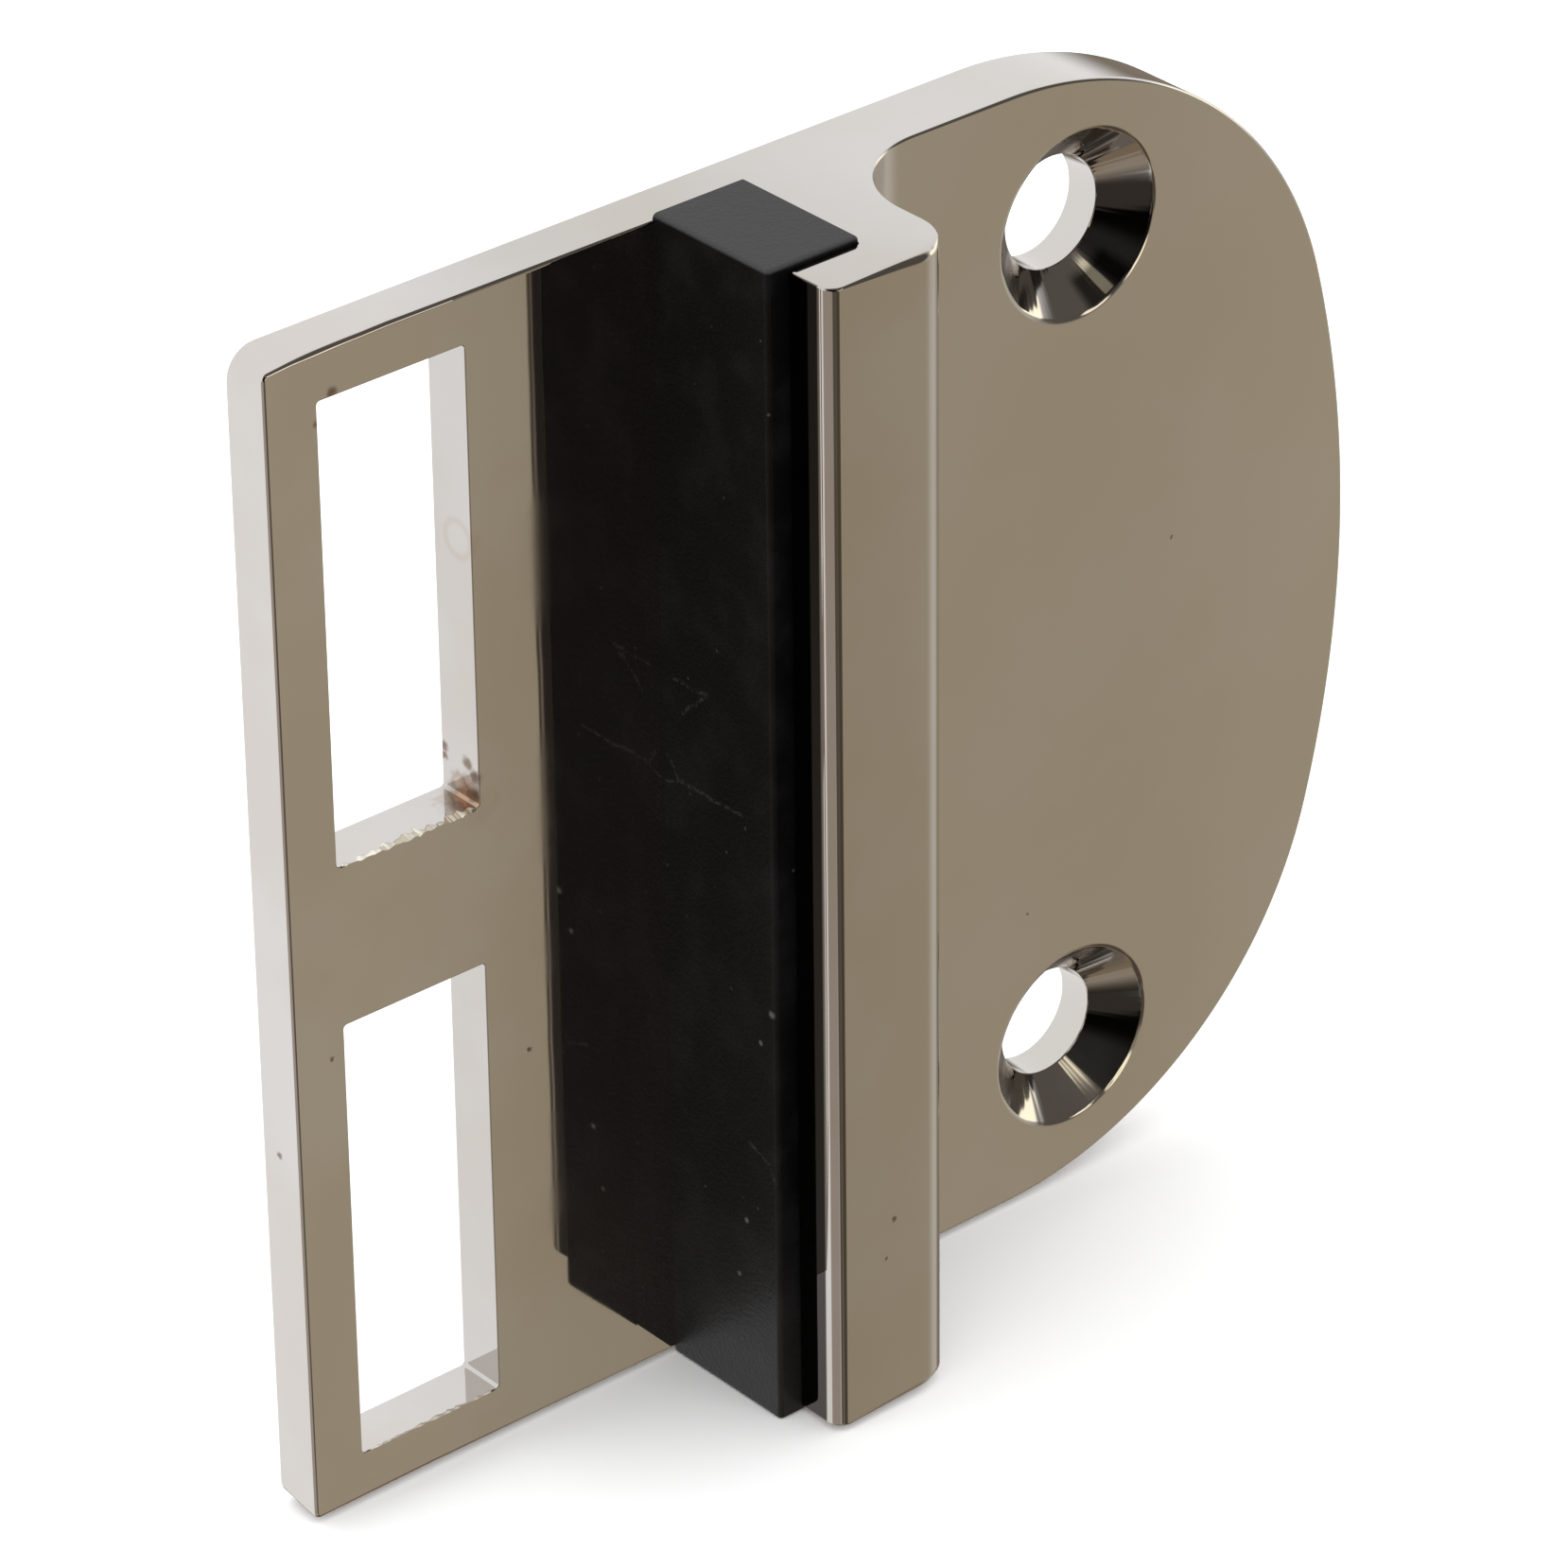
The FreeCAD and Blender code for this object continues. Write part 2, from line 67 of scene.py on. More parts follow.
# %% Place the camera
PICTURE_SIDE = 1658
LOOK_AZIMUTH = math.radians(-40.2881)
LOOK_ELEVATION = math.radians(30.2264)
CAMERA_ROLL = math.radians(-0.6736)
FOCAL_PIXELS = 8638.27
AIM_POINT = Vector((-21.5, 0.0, -0.15)) * MM
AIM_PIXEL = (718.0624, 808.2592)
AIM_DISTANCE = 381.8314 * MM
SENSOR = 36.0
NEAREST_SEEN, FARTHEST_SEEN = 0.01, 10.0


def add_object(name, data):
    """A new object in the scene, made from a mesh, a lamp or a camera."""
    made = bpy.data.objects.new(name, data)
    bpy.context.scene.collection.objects.link(made)
    return made


look = Vector((-math.sin(LOOK_AZIMUTH) * math.cos(LOOK_ELEVATION),
               math.cos(LOOK_AZIMUTH) * math.cos(LOOK_ELEVATION),
               -math.sin(LOOK_ELEVATION)))
level_right = Vector((math.cos(LOOK_AZIMUTH), math.sin(LOOK_AZIMUTH), 0.0))
level_up = level_right.cross(look)
right = level_right * math.cos(CAMERA_ROLL) + level_up * math.sin(CAMERA_ROLL)
up = level_up * math.cos(CAMERA_ROLL) - level_right * math.sin(CAMERA_ROLL)

middle = PICTURE_SIDE / 2
aim_right = (AIM_PIXEL[0] - middle) * AIM_DISTANCE / FOCAL_PIXELS
aim_up = (middle - AIM_PIXEL[1]) * AIM_DISTANCE / FOCAL_PIXELS
camera_place = AIM_POINT - right * aim_right - up * aim_up - look * AIM_DISTANCE

camera = add_object("camera", bpy.data.cameras.new("camera"))
camera.data.sensor_width = SENSOR
camera.data.lens = SENSOR * FOCAL_PIXELS / PICTURE_SIDE
camera.data.clip_start = NEAREST_SEEN
camera.data.clip_end = FARTHEST_SEEN
turn = Matrix((right, up, -look)).transposed()
camera.matrix_world = Matrix.Translation(camera_place) @ turn.to_4x4()
bpy.context.scene.camera = camera
print("camera at", [round(v / MM, 1) for v in camera_place], "mm")
print("lens", round(camera.data.lens, 1), "mm")

# %% [markdown]
# Node trees are wired the same way again and again: make a node, set its choices,
# and give each input either a plain value or a link from another node. Two short
# helpers do that for every tree in this lesson, so the cells below can be read as
# recipes: put gives the node back, and get gives its first output.

# %% Helpers that wire nodes
def put(tree, kind, inputs=None, **choices):
    """Add a node. An input given as a socket is linked, any other value is set."""
    node = tree.nodes.new(kind)
    for choice, value in choices.items():
        setattr(node, choice, value)
    for name, value in (inputs or {}).items():
        for one in value if isinstance(value, list) else [value]:
            if isinstance(one, bpy.types.NodeSocket):
                tree.links.new(one, node.inputs[name])
            else:
                node.inputs[name].default_value = one
    return node


def get(tree, kind, inputs=None, **choices):
    """Add a node in the same way, and return what comes out of it first."""
    return put(tree, kind, inputs, **choices).outputs[0]


def new_geometry_tree(name, sizes):
    """A geometry tree whose named inputs are sizes in metres."""
    tree = bpy.data.node_groups.new(name, "GeometryNodeTree")
    face = tree.interface
    face.new_socket("Geometry", in_out="INPUT", socket_type="NodeSocketGeometry")
    face.new_socket("Geometry", in_out="OUTPUT", socket_type="NodeSocketGeometry")
    for label, value in sizes.items():
        socket = face.new_socket(label, in_out="INPUT", socket_type="NodeSocketFloat")
        socket.default_value = value
    return tree


def input_socket(tree, label):
    """The identifier of a tree's named input, which a modifier is set by."""
    for item in tree.interface.items_tree:
        if item.in_out == "INPUT" and item.name == label:
            return item.identifier
    raise KeyError(label)


# %% [markdown]
# The metal is one piece of drawn bar. Cut across, it always shows the same section:
# a thin plate, a rib that stands out of it, a lip that hooks back from the rib, and
# a thicker plate on the other side that meets the rib in a soft hollow. So the
# section is drawn once as a flat sketch, from the sizes of the real plate.

# %% Sizes of the metal, in millimetres
PLATE_HEIGHT = 60.3
LEAF_THICKNESS = 2.7
SCREW_PLATE_THICKNESS = 3.9
LEFT_X = -46.5
ROUND_END_X = 17.7
RIB_LEFT_X = -19.2
RIB_RIGHT_X = -15.5
LIP_LEFT_X = -23.4
LIP_BACK_Y = -10.6
LIP_FRONT_Y = -13.3
LIP_NOSE_RADIUS = 0.8
RIB_SHOULDER_RADIUS = 2.8
RIB_ROOT_RADIUS = 5.25
CORNER_RADIUS = 20.7
SIDE_RADIUS = 56.5
UPPER_LEFT_ROUND = 1.6
LOWER_LEFT_ROUND = 0.9
FRONT_CORNER_ROUND = 0.3
CORNER_DIP = 0.27
DIP_START_X = -41.0
DIP_STEPS = 6
CHANNEL_CORNER_RADIUS = 0.3
OVERCUT = 1.5
HALF_HEIGHT = PLATE_HEIGHT / 2


def arc_points(centre, radius, start_deg, end_deg, steps):
    """Points along an arc, both ends among them."""
    points = []
    for step in range(steps + 1):
        angle = math.radians(start_deg + (end_deg - start_deg) * step / steps)
        points.append((centre[0] + radius * math.cos(angle),
                       centre[1] + radius * math.sin(angle)))
    return points


def section_points():
    """The metal's section, going round anticlockwise as seen from above."""
    nose, shoulder, root = LIP_NOSE_RADIUS, RIB_SHOULDER_RADIUS, RIB_ROOT_RADIUS
    inner, right_end = CHANNEL_CORNER_RADIUS, ROUND_END_X + OVERCUT
    points = [(LEFT_X, 0), (LEFT_X, -LEAF_THICKNESS), (RIB_LEFT_X, -LEAF_THICKNESS)]
    points += arc_points((RIB_LEFT_X - inner, LIP_BACK_Y + inner), inner, 0, -90, 6)
    points.append((LIP_LEFT_X, LIP_BACK_Y))
    points += arc_points((LIP_LEFT_X + nose, LIP_FRONT_Y + nose), nose, 180, 270, 16)
    points += arc_points((RIB_RIGHT_X - shoulder, LIP_FRONT_Y + shoulder), shoulder, 270, 360, 32)
    points += arc_points((RIB_RIGHT_X + root, -SCREW_PLATE_THICKNESS - root), root, 180, 90, 64)
    points += [(right_end, -SCREW_PLATE_THICKNESS), (right_end, 0)]
    return points


def top_z(x, dip):
    """Height of the upper edge, which has been polished down towards its left end."""
    run = min(max((DIP_START_X - x) / (DIP_START_X - LEFT_X), 0), 1)
    return HALF_HEIGHT - dip * run ** 2


def outline_points(low, high, dip):
    """The plate from the front. Its left corners are rounded by low and high."""
    side_x = ROUND_END_X - SIDE_RADIUS
    corner_z = HALF_HEIGHT - CORNER_RADIUS
    run = math.sqrt((SIDE_RADIUS - CORNER_RADIUS) ** 2 - corner_z ** 2)
    corner_x = side_x + run
    meet = math.degrees(math.atan2(corner_z, run))
    points = arc_points((LEFT_X + low, low - HALF_HEIGHT), low, 180, 270, 12)
    points += arc_points((corner_x, -corner_z), CORNER_RADIUS, 270, 360 - meet, 48)
    points += arc_points((side_x, 0), SIDE_RADIUS, -meet, meet, 40)[1:]
    points += arc_points((corner_x, corner_z), CORNER_RADIUS, meet, 90, 48)[1:]
    first_x = LEFT_X + UPPER_LEFT_ROUND
    for step in range(DIP_STEPS + 1):
        x = DIP_START_X + (first_x - DIP_START_X) * step / DIP_STEPS
        points.append((x, top_z(x, dip)))
    points += arc_points((LEFT_X + high, HALF_HEIGHT - dip - high), high, 90, 180, 12)
    return points


def add_mesh(name, points, faces):
    """A mesh object from its faces and its points in millimetres."""
    mesh = bpy.data.meshes.new(name)
    mesh.from_pydata([Vector(point) * MM for point in points], [], faces)
    mesh.update()
    return add_object(name, mesh)


def add_blade(name):
    """The outline as a closed cutter. Its left corners get sharper towards the front."""
    back = (LOWER_LEFT_ROUND, UPPER_LEFT_ROUND, 0)
    front = (FRONT_CORNER_ROUND, FRONT_CORNER_ROUND, CORNER_DIP)
    levels = [(OVERCUT, back), (0, back), (-LEAF_THICKNESS, front),
              (LIP_FRONT_Y - OVERCUT, front)]
    rings = [[(x, y, z) for x, z in outline_points(*shape)] for y, shape in levels]
    around = len(rings[0])
    front_ring = (len(rings) - 1) * around
    faces = [list(range(around - 1, -1, -1)), list(range(front_ring, front_ring + around))]
    for ring in range(0, front_ring, around):
        for spot in range(around):
            a, b = ring + spot, ring + (spot + 1) % around
            faces.append([a, b, b + around, a + around])
    return add_mesh(name, [point for ring in rings for point in ring], faces)


def describe(obj):
    """Print a mesh's faces, open edges and volume, which is below zero if it is inside out."""
    work = bmesh.new()
    work.from_mesh(obj.data)
    open_edges = sum(not edge.is_manifold for edge in work.edges)
    held = round(work.calc_volume(signed=True) / MM ** 3, 1)
    print(obj.name, len(work.faces), "faces,", open_edges, "open edges,", held, "mm3")
    work.free()


corners = [(x, y, 0) for x, y in section_points()]
section = add_mesh("strike_metal", corners, [list(range(len(corners)))])
outline = add_blade("strike_outline")
print("section has", len(corners), "points")
describe(outline)

# %% [markdown]
# Each screw hole is a bore with a cone for the screw's head. The bit that cuts it is
# turned, so here too a profile of radius and depth is spun round an axis. It has the
# small rounds that polishing leaves at the rim, the throat and the back.

# %% Make the countersink bit
HOLE_DIAMETER = 5.7
SEAT_DIAMETER = 9.65
SEAT_RIM_ROUND = 0.6
THROAT_ROUND = 0.12
HOLE_BACK_ROUND = 0.12
BIT_SIDES = 128
# Two places nearer than this are the same place.
TOUCH = 0.02


def countersink_profile():
    """Radius and depth along the bit's side, with the rounds that it leaves."""
    hole, seat, thick = HOLE_DIAMETER / 2, SEAT_DIAMETER / 2, SCREW_PLATE_THICKNESS
    # A round between two lines that turn by 45 degrees starts this share of its radius
    # before their corner. At both faces it stops a hair past them, for a clean cut.
    share = math.tan(math.radians(22.5))
    hair = TOUCH / 10
    rim_start = seat + SEAT_RIM_ROUND * share
    throat_end = seat - hole - thick + THROAT_ROUND * share
    profile = [(rim_start, -thick - OVERCUT)]
    profile += arc_points((rim_start, SEAT_RIM_ROUND - thick - hair), SEAT_RIM_ROUND, -90, -135, 6)
    profile += arc_points((hole + THROAT_ROUND, throat_end), THROAT_ROUND, -135, -180, 5)
    profile += arc_points((hole + HOLE_BACK_ROUND, hair - HOLE_BACK_ROUND),
                          HOLE_BACK_ROUND, 180, 90, 5)
    profile.append((hole + HOLE_BACK_ROUND, OVERCUT))
    return profile


def lathe(name, profile, sides):
    """A closed solid turned round the Y axis."""
    points, faces = [], []
    for radius, y in profile:
        for side in range(sides):
            angle = 2 * math.pi * side / sides
            points.append((radius * math.cos(angle), y, radius * math.sin(angle)))
    for ring in range(len(profile) - 1):
        for side in range(sides):
            a, b = ring * sides + side, ring * sides + (side + 1) % sides
            faces.append([a, a + sides, b + sides, b])
    faces.append(list(range(sides)))
    faces.append(list(range(len(points) - 1, len(points) - sides - 1, -1)))
    return add_mesh(name, points, faces)


cutter = lathe("countersink_bit", countersink_profile(), BIT_SIDES)
describe(cutter)

# %% [markdown]
# From here the shape follows a rule, which is what Geometry Nodes are good at: sweep
# the section up the plate, keep what lies inside the outline, then take out two bolt
# openings and two screw holes. The opening and the bit are each drawn once and
# repeated by their spacing. The sizes are named inputs, so a taller opening is one
# number away.

# %% Build the cutting tree
HOLE_SPACING = 44.45
OPENING_FROM_LEFT = 2.85
OPENING_WIDTH = 8.2
OPENING_HEIGHT = 23.5
OPENING_SPACING = 31.8
OPENING_CORNER = 0.2
OPENING_CENTRE_X = LEFT_X + OPENING_FROM_LEFT + OPENING_WIDTH / 2
CUT_SIZES = {
    "Plate Height": PLATE_HEIGHT * MM,
    "Plate Depth": -LIP_FRONT_Y * MM,
    "Opening Centre X": OPENING_CENTRE_X * MM,
    "Opening Width": OPENING_WIDTH * MM,
    "Opening Height": OPENING_HEIGHT * MM,
    "Opening Corner": OPENING_CORNER * MM,
    "Opening Spacing": OPENING_SPACING * MM,
    "Hole Spacing": HOLE_SPACING * MM,
    "Overcut": OVERCUT * MM,
}
# Points nearer than this are one point.
WELD_METRES = 1e-7


def combine(tree, x=0.0, y=0.0, z=0.0):
    """A vector from three numbers or sockets."""
    return get(tree, "ShaderNodeCombineXYZ", {"X": x, "Y": y, "Z": z})


def calculate(tree, operation, *values):
    """One step of arithmetic on numbers or sockets."""
    node = put(tree, "ShaderNodeMath", operation=operation)
    for socket, value in zip(node.inputs, values):
        if isinstance(value, bpy.types.NodeSocket):
            tree.links.new(value, socket)
        else:
            socket.default_value = value
    return node.outputs[0]


def sweep(tree, face, start, travel):
    """A closed bar: the face moved to its start, and pushed along its travel."""
    placed = get(tree, "GeometryNodeTransform",
                 {"Geometry": face, "Translation": start})
    pushed = get(tree, "GeometryNodeExtrudeMesh",
                 {"Mesh": placed, "Offset": travel, "Offset Scale": 1.0, "Individual": False},
                 mode="FACES")
    back = get(tree, "GeometryNodeFlipFaces", {"Mesh": placed})
    both = get(tree, "GeometryNodeJoinGeometry", {"Geometry": [pushed, back]})
    return get(tree, "GeometryNodeMergeByDistance",
               {"Geometry": both, "Distance": WELD_METRES})


def repeat_upwards(tree, shape, spacing):
    """Two copies of a shape, one above the middle and one below."""
    lowest = combine(tree, z=calculate(tree, "MULTIPLY", spacing, -0.5))
    places = get(tree, "GeometryNodeMeshLine",
                 {"Count": 2, "Start Location": lowest, "Offset": combine(tree, z=spacing)},
                 mode="OFFSET")
    copies = put(tree, "GeometryNodeInstanceOnPoints", {"Points": places, "Instance": shape})
    return get(tree, "GeometryNodeRealizeInstances", {"Geometry": copies.outputs[0]})


def cut_tree(outline_object, bit_object, finish):
    """Sweep the section, keep what lies in the outline, and cut the openings and holes."""
    tree = new_geometry_tree("cut_from_bar", CUT_SIZES)
    given = put(tree, "NodeGroupInput").outputs
    over = given["Overcut"]
    half = calculate(tree, "MULTIPLY", given["Plate Height"], 0.5)
    reach = calculate(tree, "ADD", half, over)
    bar = sweep(tree, given["Geometry"],
                combine(tree, z=calculate(tree, "MULTIPLY", reach, -1.0)),
                combine(tree, z=calculate(tree, "MULTIPLY", reach, 2.0)))

    blade = put(tree, "GeometryNodeObjectInfo", {"Object": outline_object}).outputs["Geometry"]
    trimmed = get(tree, "GeometryNodeMeshBoolean", {"Mesh 2": [bar, blade]},
                  operation="INTERSECT", solver="EXACT")

    window = get(tree, "GeometryNodeCurvePrimitiveQuadrilateral",
                 {"Width": given["Opening Width"], "Height": given["Opening Height"]})
    window = get(tree, "GeometryNodeFilletCurve",
                 {"Curve": window, "Radius": given["Opening Corner"], "Count": 6},
                 mode="POLY")
    window = get(tree, "GeometryNodeFillCurve", {"Curve": window}, mode="NGONS")
    window = get(tree, "GeometryNodeTransform",
                 {"Geometry": window, "Rotation": (math.radians(90), 0, 0)})
    deep = calculate(tree, "ADD", given["Plate Depth"], calculate(tree, "MULTIPLY", over, 2.0))
    window = sweep(tree, window, combine(tree, x=given["Opening Centre X"], y=over),
                   combine(tree, y=calculate(tree, "MULTIPLY", deep, -1.0)))
    windows = repeat_upwards(tree, window, given["Opening Spacing"])

    bit = put(tree, "GeometryNodeObjectInfo", {"Object": bit_object}).outputs["Geometry"]
    tools = repeat_upwards(tree, bit, given["Hole Spacing"])

    cut = put(tree, "GeometryNodeMeshBoolean", {"Mesh 1": trimmed, "Mesh 2": [windows, tools]},
              operation="DIFFERENCE", solver="EXACT")
    cut.inputs["Self Intersection"].default_value = True
    whole = get(tree, "GeometryNodeRealizeInstances", {"Geometry": cut.outputs[0]})
    whole = get(tree, "GeometryNodeSetMaterial",
                {"Geometry": whole, "Material": finish})
    put(tree, "NodeGroupOutput", {"Geometry": whole})
    return tree


nickel = bpy.data.materials.new("polished_nickel")
cutting = cut_tree(outline, cutter, nickel)
print("cutting tree:", len(cutting.nodes), "nodes,", len(CUT_SIZES), "named sizes")

# %% [markdown]
# A modifier runs the tree. Its result is made a plain mesh at once, because the next
# steps change single edges and points of it. The outline and the bit are then put away.

# %% Cut the metal
def bake_modifiers(obj):
    """Turn an object and its modifiers into one plain mesh."""
    seen = obj.evaluated_get(bpy.context.evaluated_depsgraph_get())
    mesh = bpy.data.meshes.new_from_object(seen)
    mesh.name = obj.name
    obj.modifiers.clear()
    obj.data = mesh
    return obj


step = section.modifiers.new("cut_from_bar", "NODES")
step.node_group = cutting
for label, value in CUT_SIZES.items():
    step[input_socket(cutting, label)] = value
metal = bake_modifiers(section)
bpy.data.objects.remove(outline)
bpy.data.objects.remove(cutter)
describe(metal)

# %% [markdown]
# Nothing polished has a truly sharp edge: the wheel rounds it, more on the outside
# and less inside an opening. A Bevel modifier with a weight on each edge rounds every
# edge by its own amount, and Weighted Normal then keeps the flat faces mirror flat,
# because each point's normal follows the larger face beside it.

# %% Round the edges as the polishing wheel does
WIDEST_ROUND = 0.3
BACK_ROUND = 0.1
OPENING_ROUND = 0.06
TOP_ROUND = 0.2
NICK_POINTS = 24
# Two edges this far from each other are different ones.
WELL_APART = 1.0
# An edge that turns by more than the first is crisp, one by less than the second is flat.
CRISP_ANGLE = math.radians(25)
FLAT_ANGLE = math.radians(0.1)


def round_for(points):
    """How far polishing has rounded an edge, in millimetres."""
    in_seat = [math.hypot(p.x, abs(p.z) - HOLE_SPACING / 2) < SEAT_DIAMETER / 2 + WELL_APART
               for p in points]
    in_opening = [abs(p.x - OPENING_CENTRE_X) < OPENING_WIDTH / 2 + TOUCH
                  and abs(p.z) < HALF_HEIGHT - WELL_APART for p in points]
    in_channel = [p.x < RIB_LEFT_X + TOUCH
                  and LIP_BACK_Y - TOUCH < p.y < -LEAF_THICKNESS + TOUCH for p in points]
    off_the_leaf = [p.y < -LEAF_THICKNESS - TOUCH for p in points]
    if all(in_seat):
        return 0
    if all(abs(p.y) < TOUCH for p in points):
        return BACK_ROUND
    if all(in_opening):
        return OPENING_ROUND
    if all(in_channel) and any(off_the_leaf):
        return 0
    return TOP_ROUND


def weigh_edges(obj):
    """Give each crisp outer edge its share of the widest round."""
    work = bmesh.new()
    work.from_mesh(obj.data)
    weights = work.edges.layers.float.get("bevel_weight_edge") \
        or work.edges.layers.float.new("bevel_weight_edge")
    count = 0
    for edge in work.edges:
        if len(edge.link_faces) != 2 or not edge.is_convex:
            continue
        if edge.calc_face_angle() < CRISP_ANGLE:
            continue
        points = [v.co / MM for v in edge.verts]
        edge[weights] = round_for(points) / WIDEST_ROUND
        count += 1
    work.to_mesh(obj.data)
    work.free()
    return count


def score_flats(obj):
    """Draw lines across the flats, so that no seam meets an opening or a hole at a slant."""
    work = bmesh.new()
    work.from_mesh(obj.data)
    lines = [(Vector((0, 0, sign * spacing / 2)), Vector((0, 0, 1)))
             for spacing in (OPENING_SPACING, HOLE_SPACING) for sign in (-1, 1)]
    lines += [(Vector((x, 0, 0)), Vector((1, 0, 0))) for x in (OPENING_CENTRE_X, 0)]
    for place, across in lines:
        cut = bmesh.ops.bisect_plane(work, geom=work.verts[:] + work.edges[:] + work.faces[:],
                                     dist=WELD_METRES, plane_co=place * MM, plane_no=across)
        for part in cut["geom_cut"]:
            if isinstance(part, bmesh.types.BMEdge):
                part.seam = True
    bmesh.ops.dissolve_limit(work, angle_limit=FLAT_ANGLE, use_dissolve_boundaries=False,
                             verts=work.verts[:], edges=work.edges[:], delimit={"SEAM"})
    work.to_mesh(obj.data)
    work.free()


def sill_levels():
    """Heights of the openings' lower sides, the lower opening first."""
    return [sign * OPENING_SPACING / 2 - OPENING_HEIGHT / 2 for sign in (-1, 1)]


def divide_sills(obj):
    """Give the front edge of each sill the points that the file marks need."""
    work = bmesh.new()
    work.from_mesh(obj.data)
    for edge in list(work.edges):
        ends = [v.co / MM for v in edge.verts]
        on_front = all(abs(p.y + LEAF_THICKNESS) < TOUCH for p in ends)
        on_sill = any(all(abs(p.z - level) < TOUCH for p in ends) for level in sill_levels())
        if on_front and on_sill and abs(ends[0].x - ends[1].x) > WELL_APART:
            for left in range(NICK_POINTS - 1, 0, -1):
                piece, _ = bmesh.utils.edge_split(edge, edge.verts[0], 1 / (left + 1))
                edge = max(edge, piece, key=lambda part: part.calc_length())
    work.to_mesh(obj.data)
    work.free()


score_flats(metal)
divide_sills(metal)
print("edges to round:", weigh_edges(metal))
wheel = metal.modifiers.new("polish", "BEVEL")
wheel.limit_method = "WEIGHT"
wheel.width = WIDEST_ROUND * MM
wheel.segments = 4
wheel.profile = 0.5
wheel.use_clamp_overlap = False
wheel.loop_slide = True
bake_modifiers(metal)
describe(metal)

# %% [markdown]
# A hand on a wheel is not even. The round along the upper and the lower edge is wide on
# the rib's shoulder and nearly sharp in the hollow. The Bevel modifier gives one round
# all along, so its points are moved afterwards: each one nearer to its edge or farther
# from it, by a table of places on the section.

# %% Vary the rounds along the upper and the lower edge
# A point of the section, then the round there in millimetres. Between two points the
# round changes evenly.
ROUNDS_ALONG = [
    ((-45.3, -2.7), 0.20), ((-44.0, -2.7), 0.32), ((-19.2, -2.7), 0.09),
    ((-23.4, -12.5), 0.12), ((-22.6, -13.3), 0.15), ((-18.3, -13.3), 0.46),
    ((-17.0, -13.0), 0.50), ((-16.4, -12.5), 0.30), ((-16.0, -12.1), 0.12),
    ((-15.5, -9.1), 0.12), ((-14.0, -5.4), 0.22), ((-10.2, -3.9), 0.16),
    ((-7.0, -3.9), 0.15),
]


def nearest_on_line(spot, line):
    """Distance to a line of points, the share along it in points, and the foot."""
    best = None
    for index in range(len(line) - 1):
        start, run = line[index], line[index + 1] - line[index]
        share = min(max((spot - start).dot(run) / run.length_squared, 0), 1)
        foot = start + run * share
        gap = (spot - foot).length
        if best is None or gap < best[0]:
            best = (gap, index + share, foot)
    return best


def vary_rounds(obj):
    """Give the rounds of the show side's upper and lower edge their own size."""
    contour = [Vector(p) for p in section_points()]
    ruled = [(nearest_on_line(Vector(spot), contour)[1], size) for spot, size in ROUNDS_ALONG]
    moved = 0
    for vert in obj.data.vertices:
        x, y, z = vert.co / MM
        edge_z = top_z(x, CORNER_DIP) if z > 0 else HALF_HEIGHT
        below = edge_z - abs(z)
        gap, along, foot = nearest_on_line(Vector((x, y)), contour)
        if below > TOP_ROUND + TOUCH or gap > TOP_ROUND + TOUCH or x > ROUNDS_ALONG[-1][0][0]:
            continue
        if not ruled[0][0] <= along <= ruled[-1][0]:
            continue
        size = ruled[-1][1]
        for (low_at, low), (high_at, high) in zip(ruled, ruled[1:]):
            if along <= high_at:
                size = low + (high - low) * max(along - low_at, 0) / (high_at - low_at)
                break
        times = size / TOP_ROUND
        spot = foot + (Vector((x, y)) - foot) * times
        vert.co = Vector((spot.x, spot.y, math.copysign(edge_z - below * times, z))) * MM
        moved += 1
    return moved


print("points moved to vary the rounds:", vary_rounds(metal))

# %% [markdown]
# The openings' sills were cleaned with a file, which left a ragged front edge. Each
# mark is a random depth from a seeded generator, and the points of that edge are
# pushed down and back by the depth at their place.

# %% File the sills and smooth the faces
NICK_SEED = 7
NICK_PITCH = 0.24
# How far a mark runs back for its depth.
NICK_SLOPE = 3.0
# Most marks are shallow: a random number to this power is a share of the deepest one.
NICK_POWER = 1.5
# The deepest mark on the lower and on the upper opening's sill.
NICK_DEPTHS = (0.07, 0.22)
# A point belongs to the edge's round if it lies within this range of its width.
ROUND_RANGE = (-0.2, 1.2)
METAL_SMOOTH_DEG = 35
RUBBER_SMOOTH_DEG = 40


def nick_sills(obj):
    """Wear the sills' front edges unevenly. The flat front stays flat."""
    rng = random.Random(NICK_SEED)
    start_x = OPENING_CENTRE_X - OPENING_WIDTH / 2 + OPENING_CORNER
    run = OPENING_WIDTH - 2 * OPENING_CORNER
    for level, deepest in zip(sill_levels(), NICK_DEPTHS):
        marks = [deepest * rng.random() ** NICK_POWER for _ in range(int(run / NICK_PITCH))]
        depths = [0.0] + marks + [0.0, 0.0]
        for vert in obj.data.vertices:
            x, y, z = vert.co / MM
            inward = (y + LEAF_THICKNESS) / OPENING_ROUND
            downward = (level - z) / OPENING_ROUND
            low, high = ROUND_RANGE
            if not 0 < x - start_x < run or not low < inward < high or not low < downward < high:
                continue
            place = (x - start_x) / NICK_PITCH
            first = int(place)
            depth = depths[first] + (depths[first + 1] - depths[first]) * (place - first)
            along = max(inward, 0) / (max(inward, 0) + max(downward, 0))
            back = along * (NICK_SLOPE * depth + OPENING_ROUND)
            down = (1 - along) * (depth + OPENING_ROUND / NICK_SLOPE)
            vert.co = Vector((x, back - LEAF_THICKNESS, level - down)) * MM


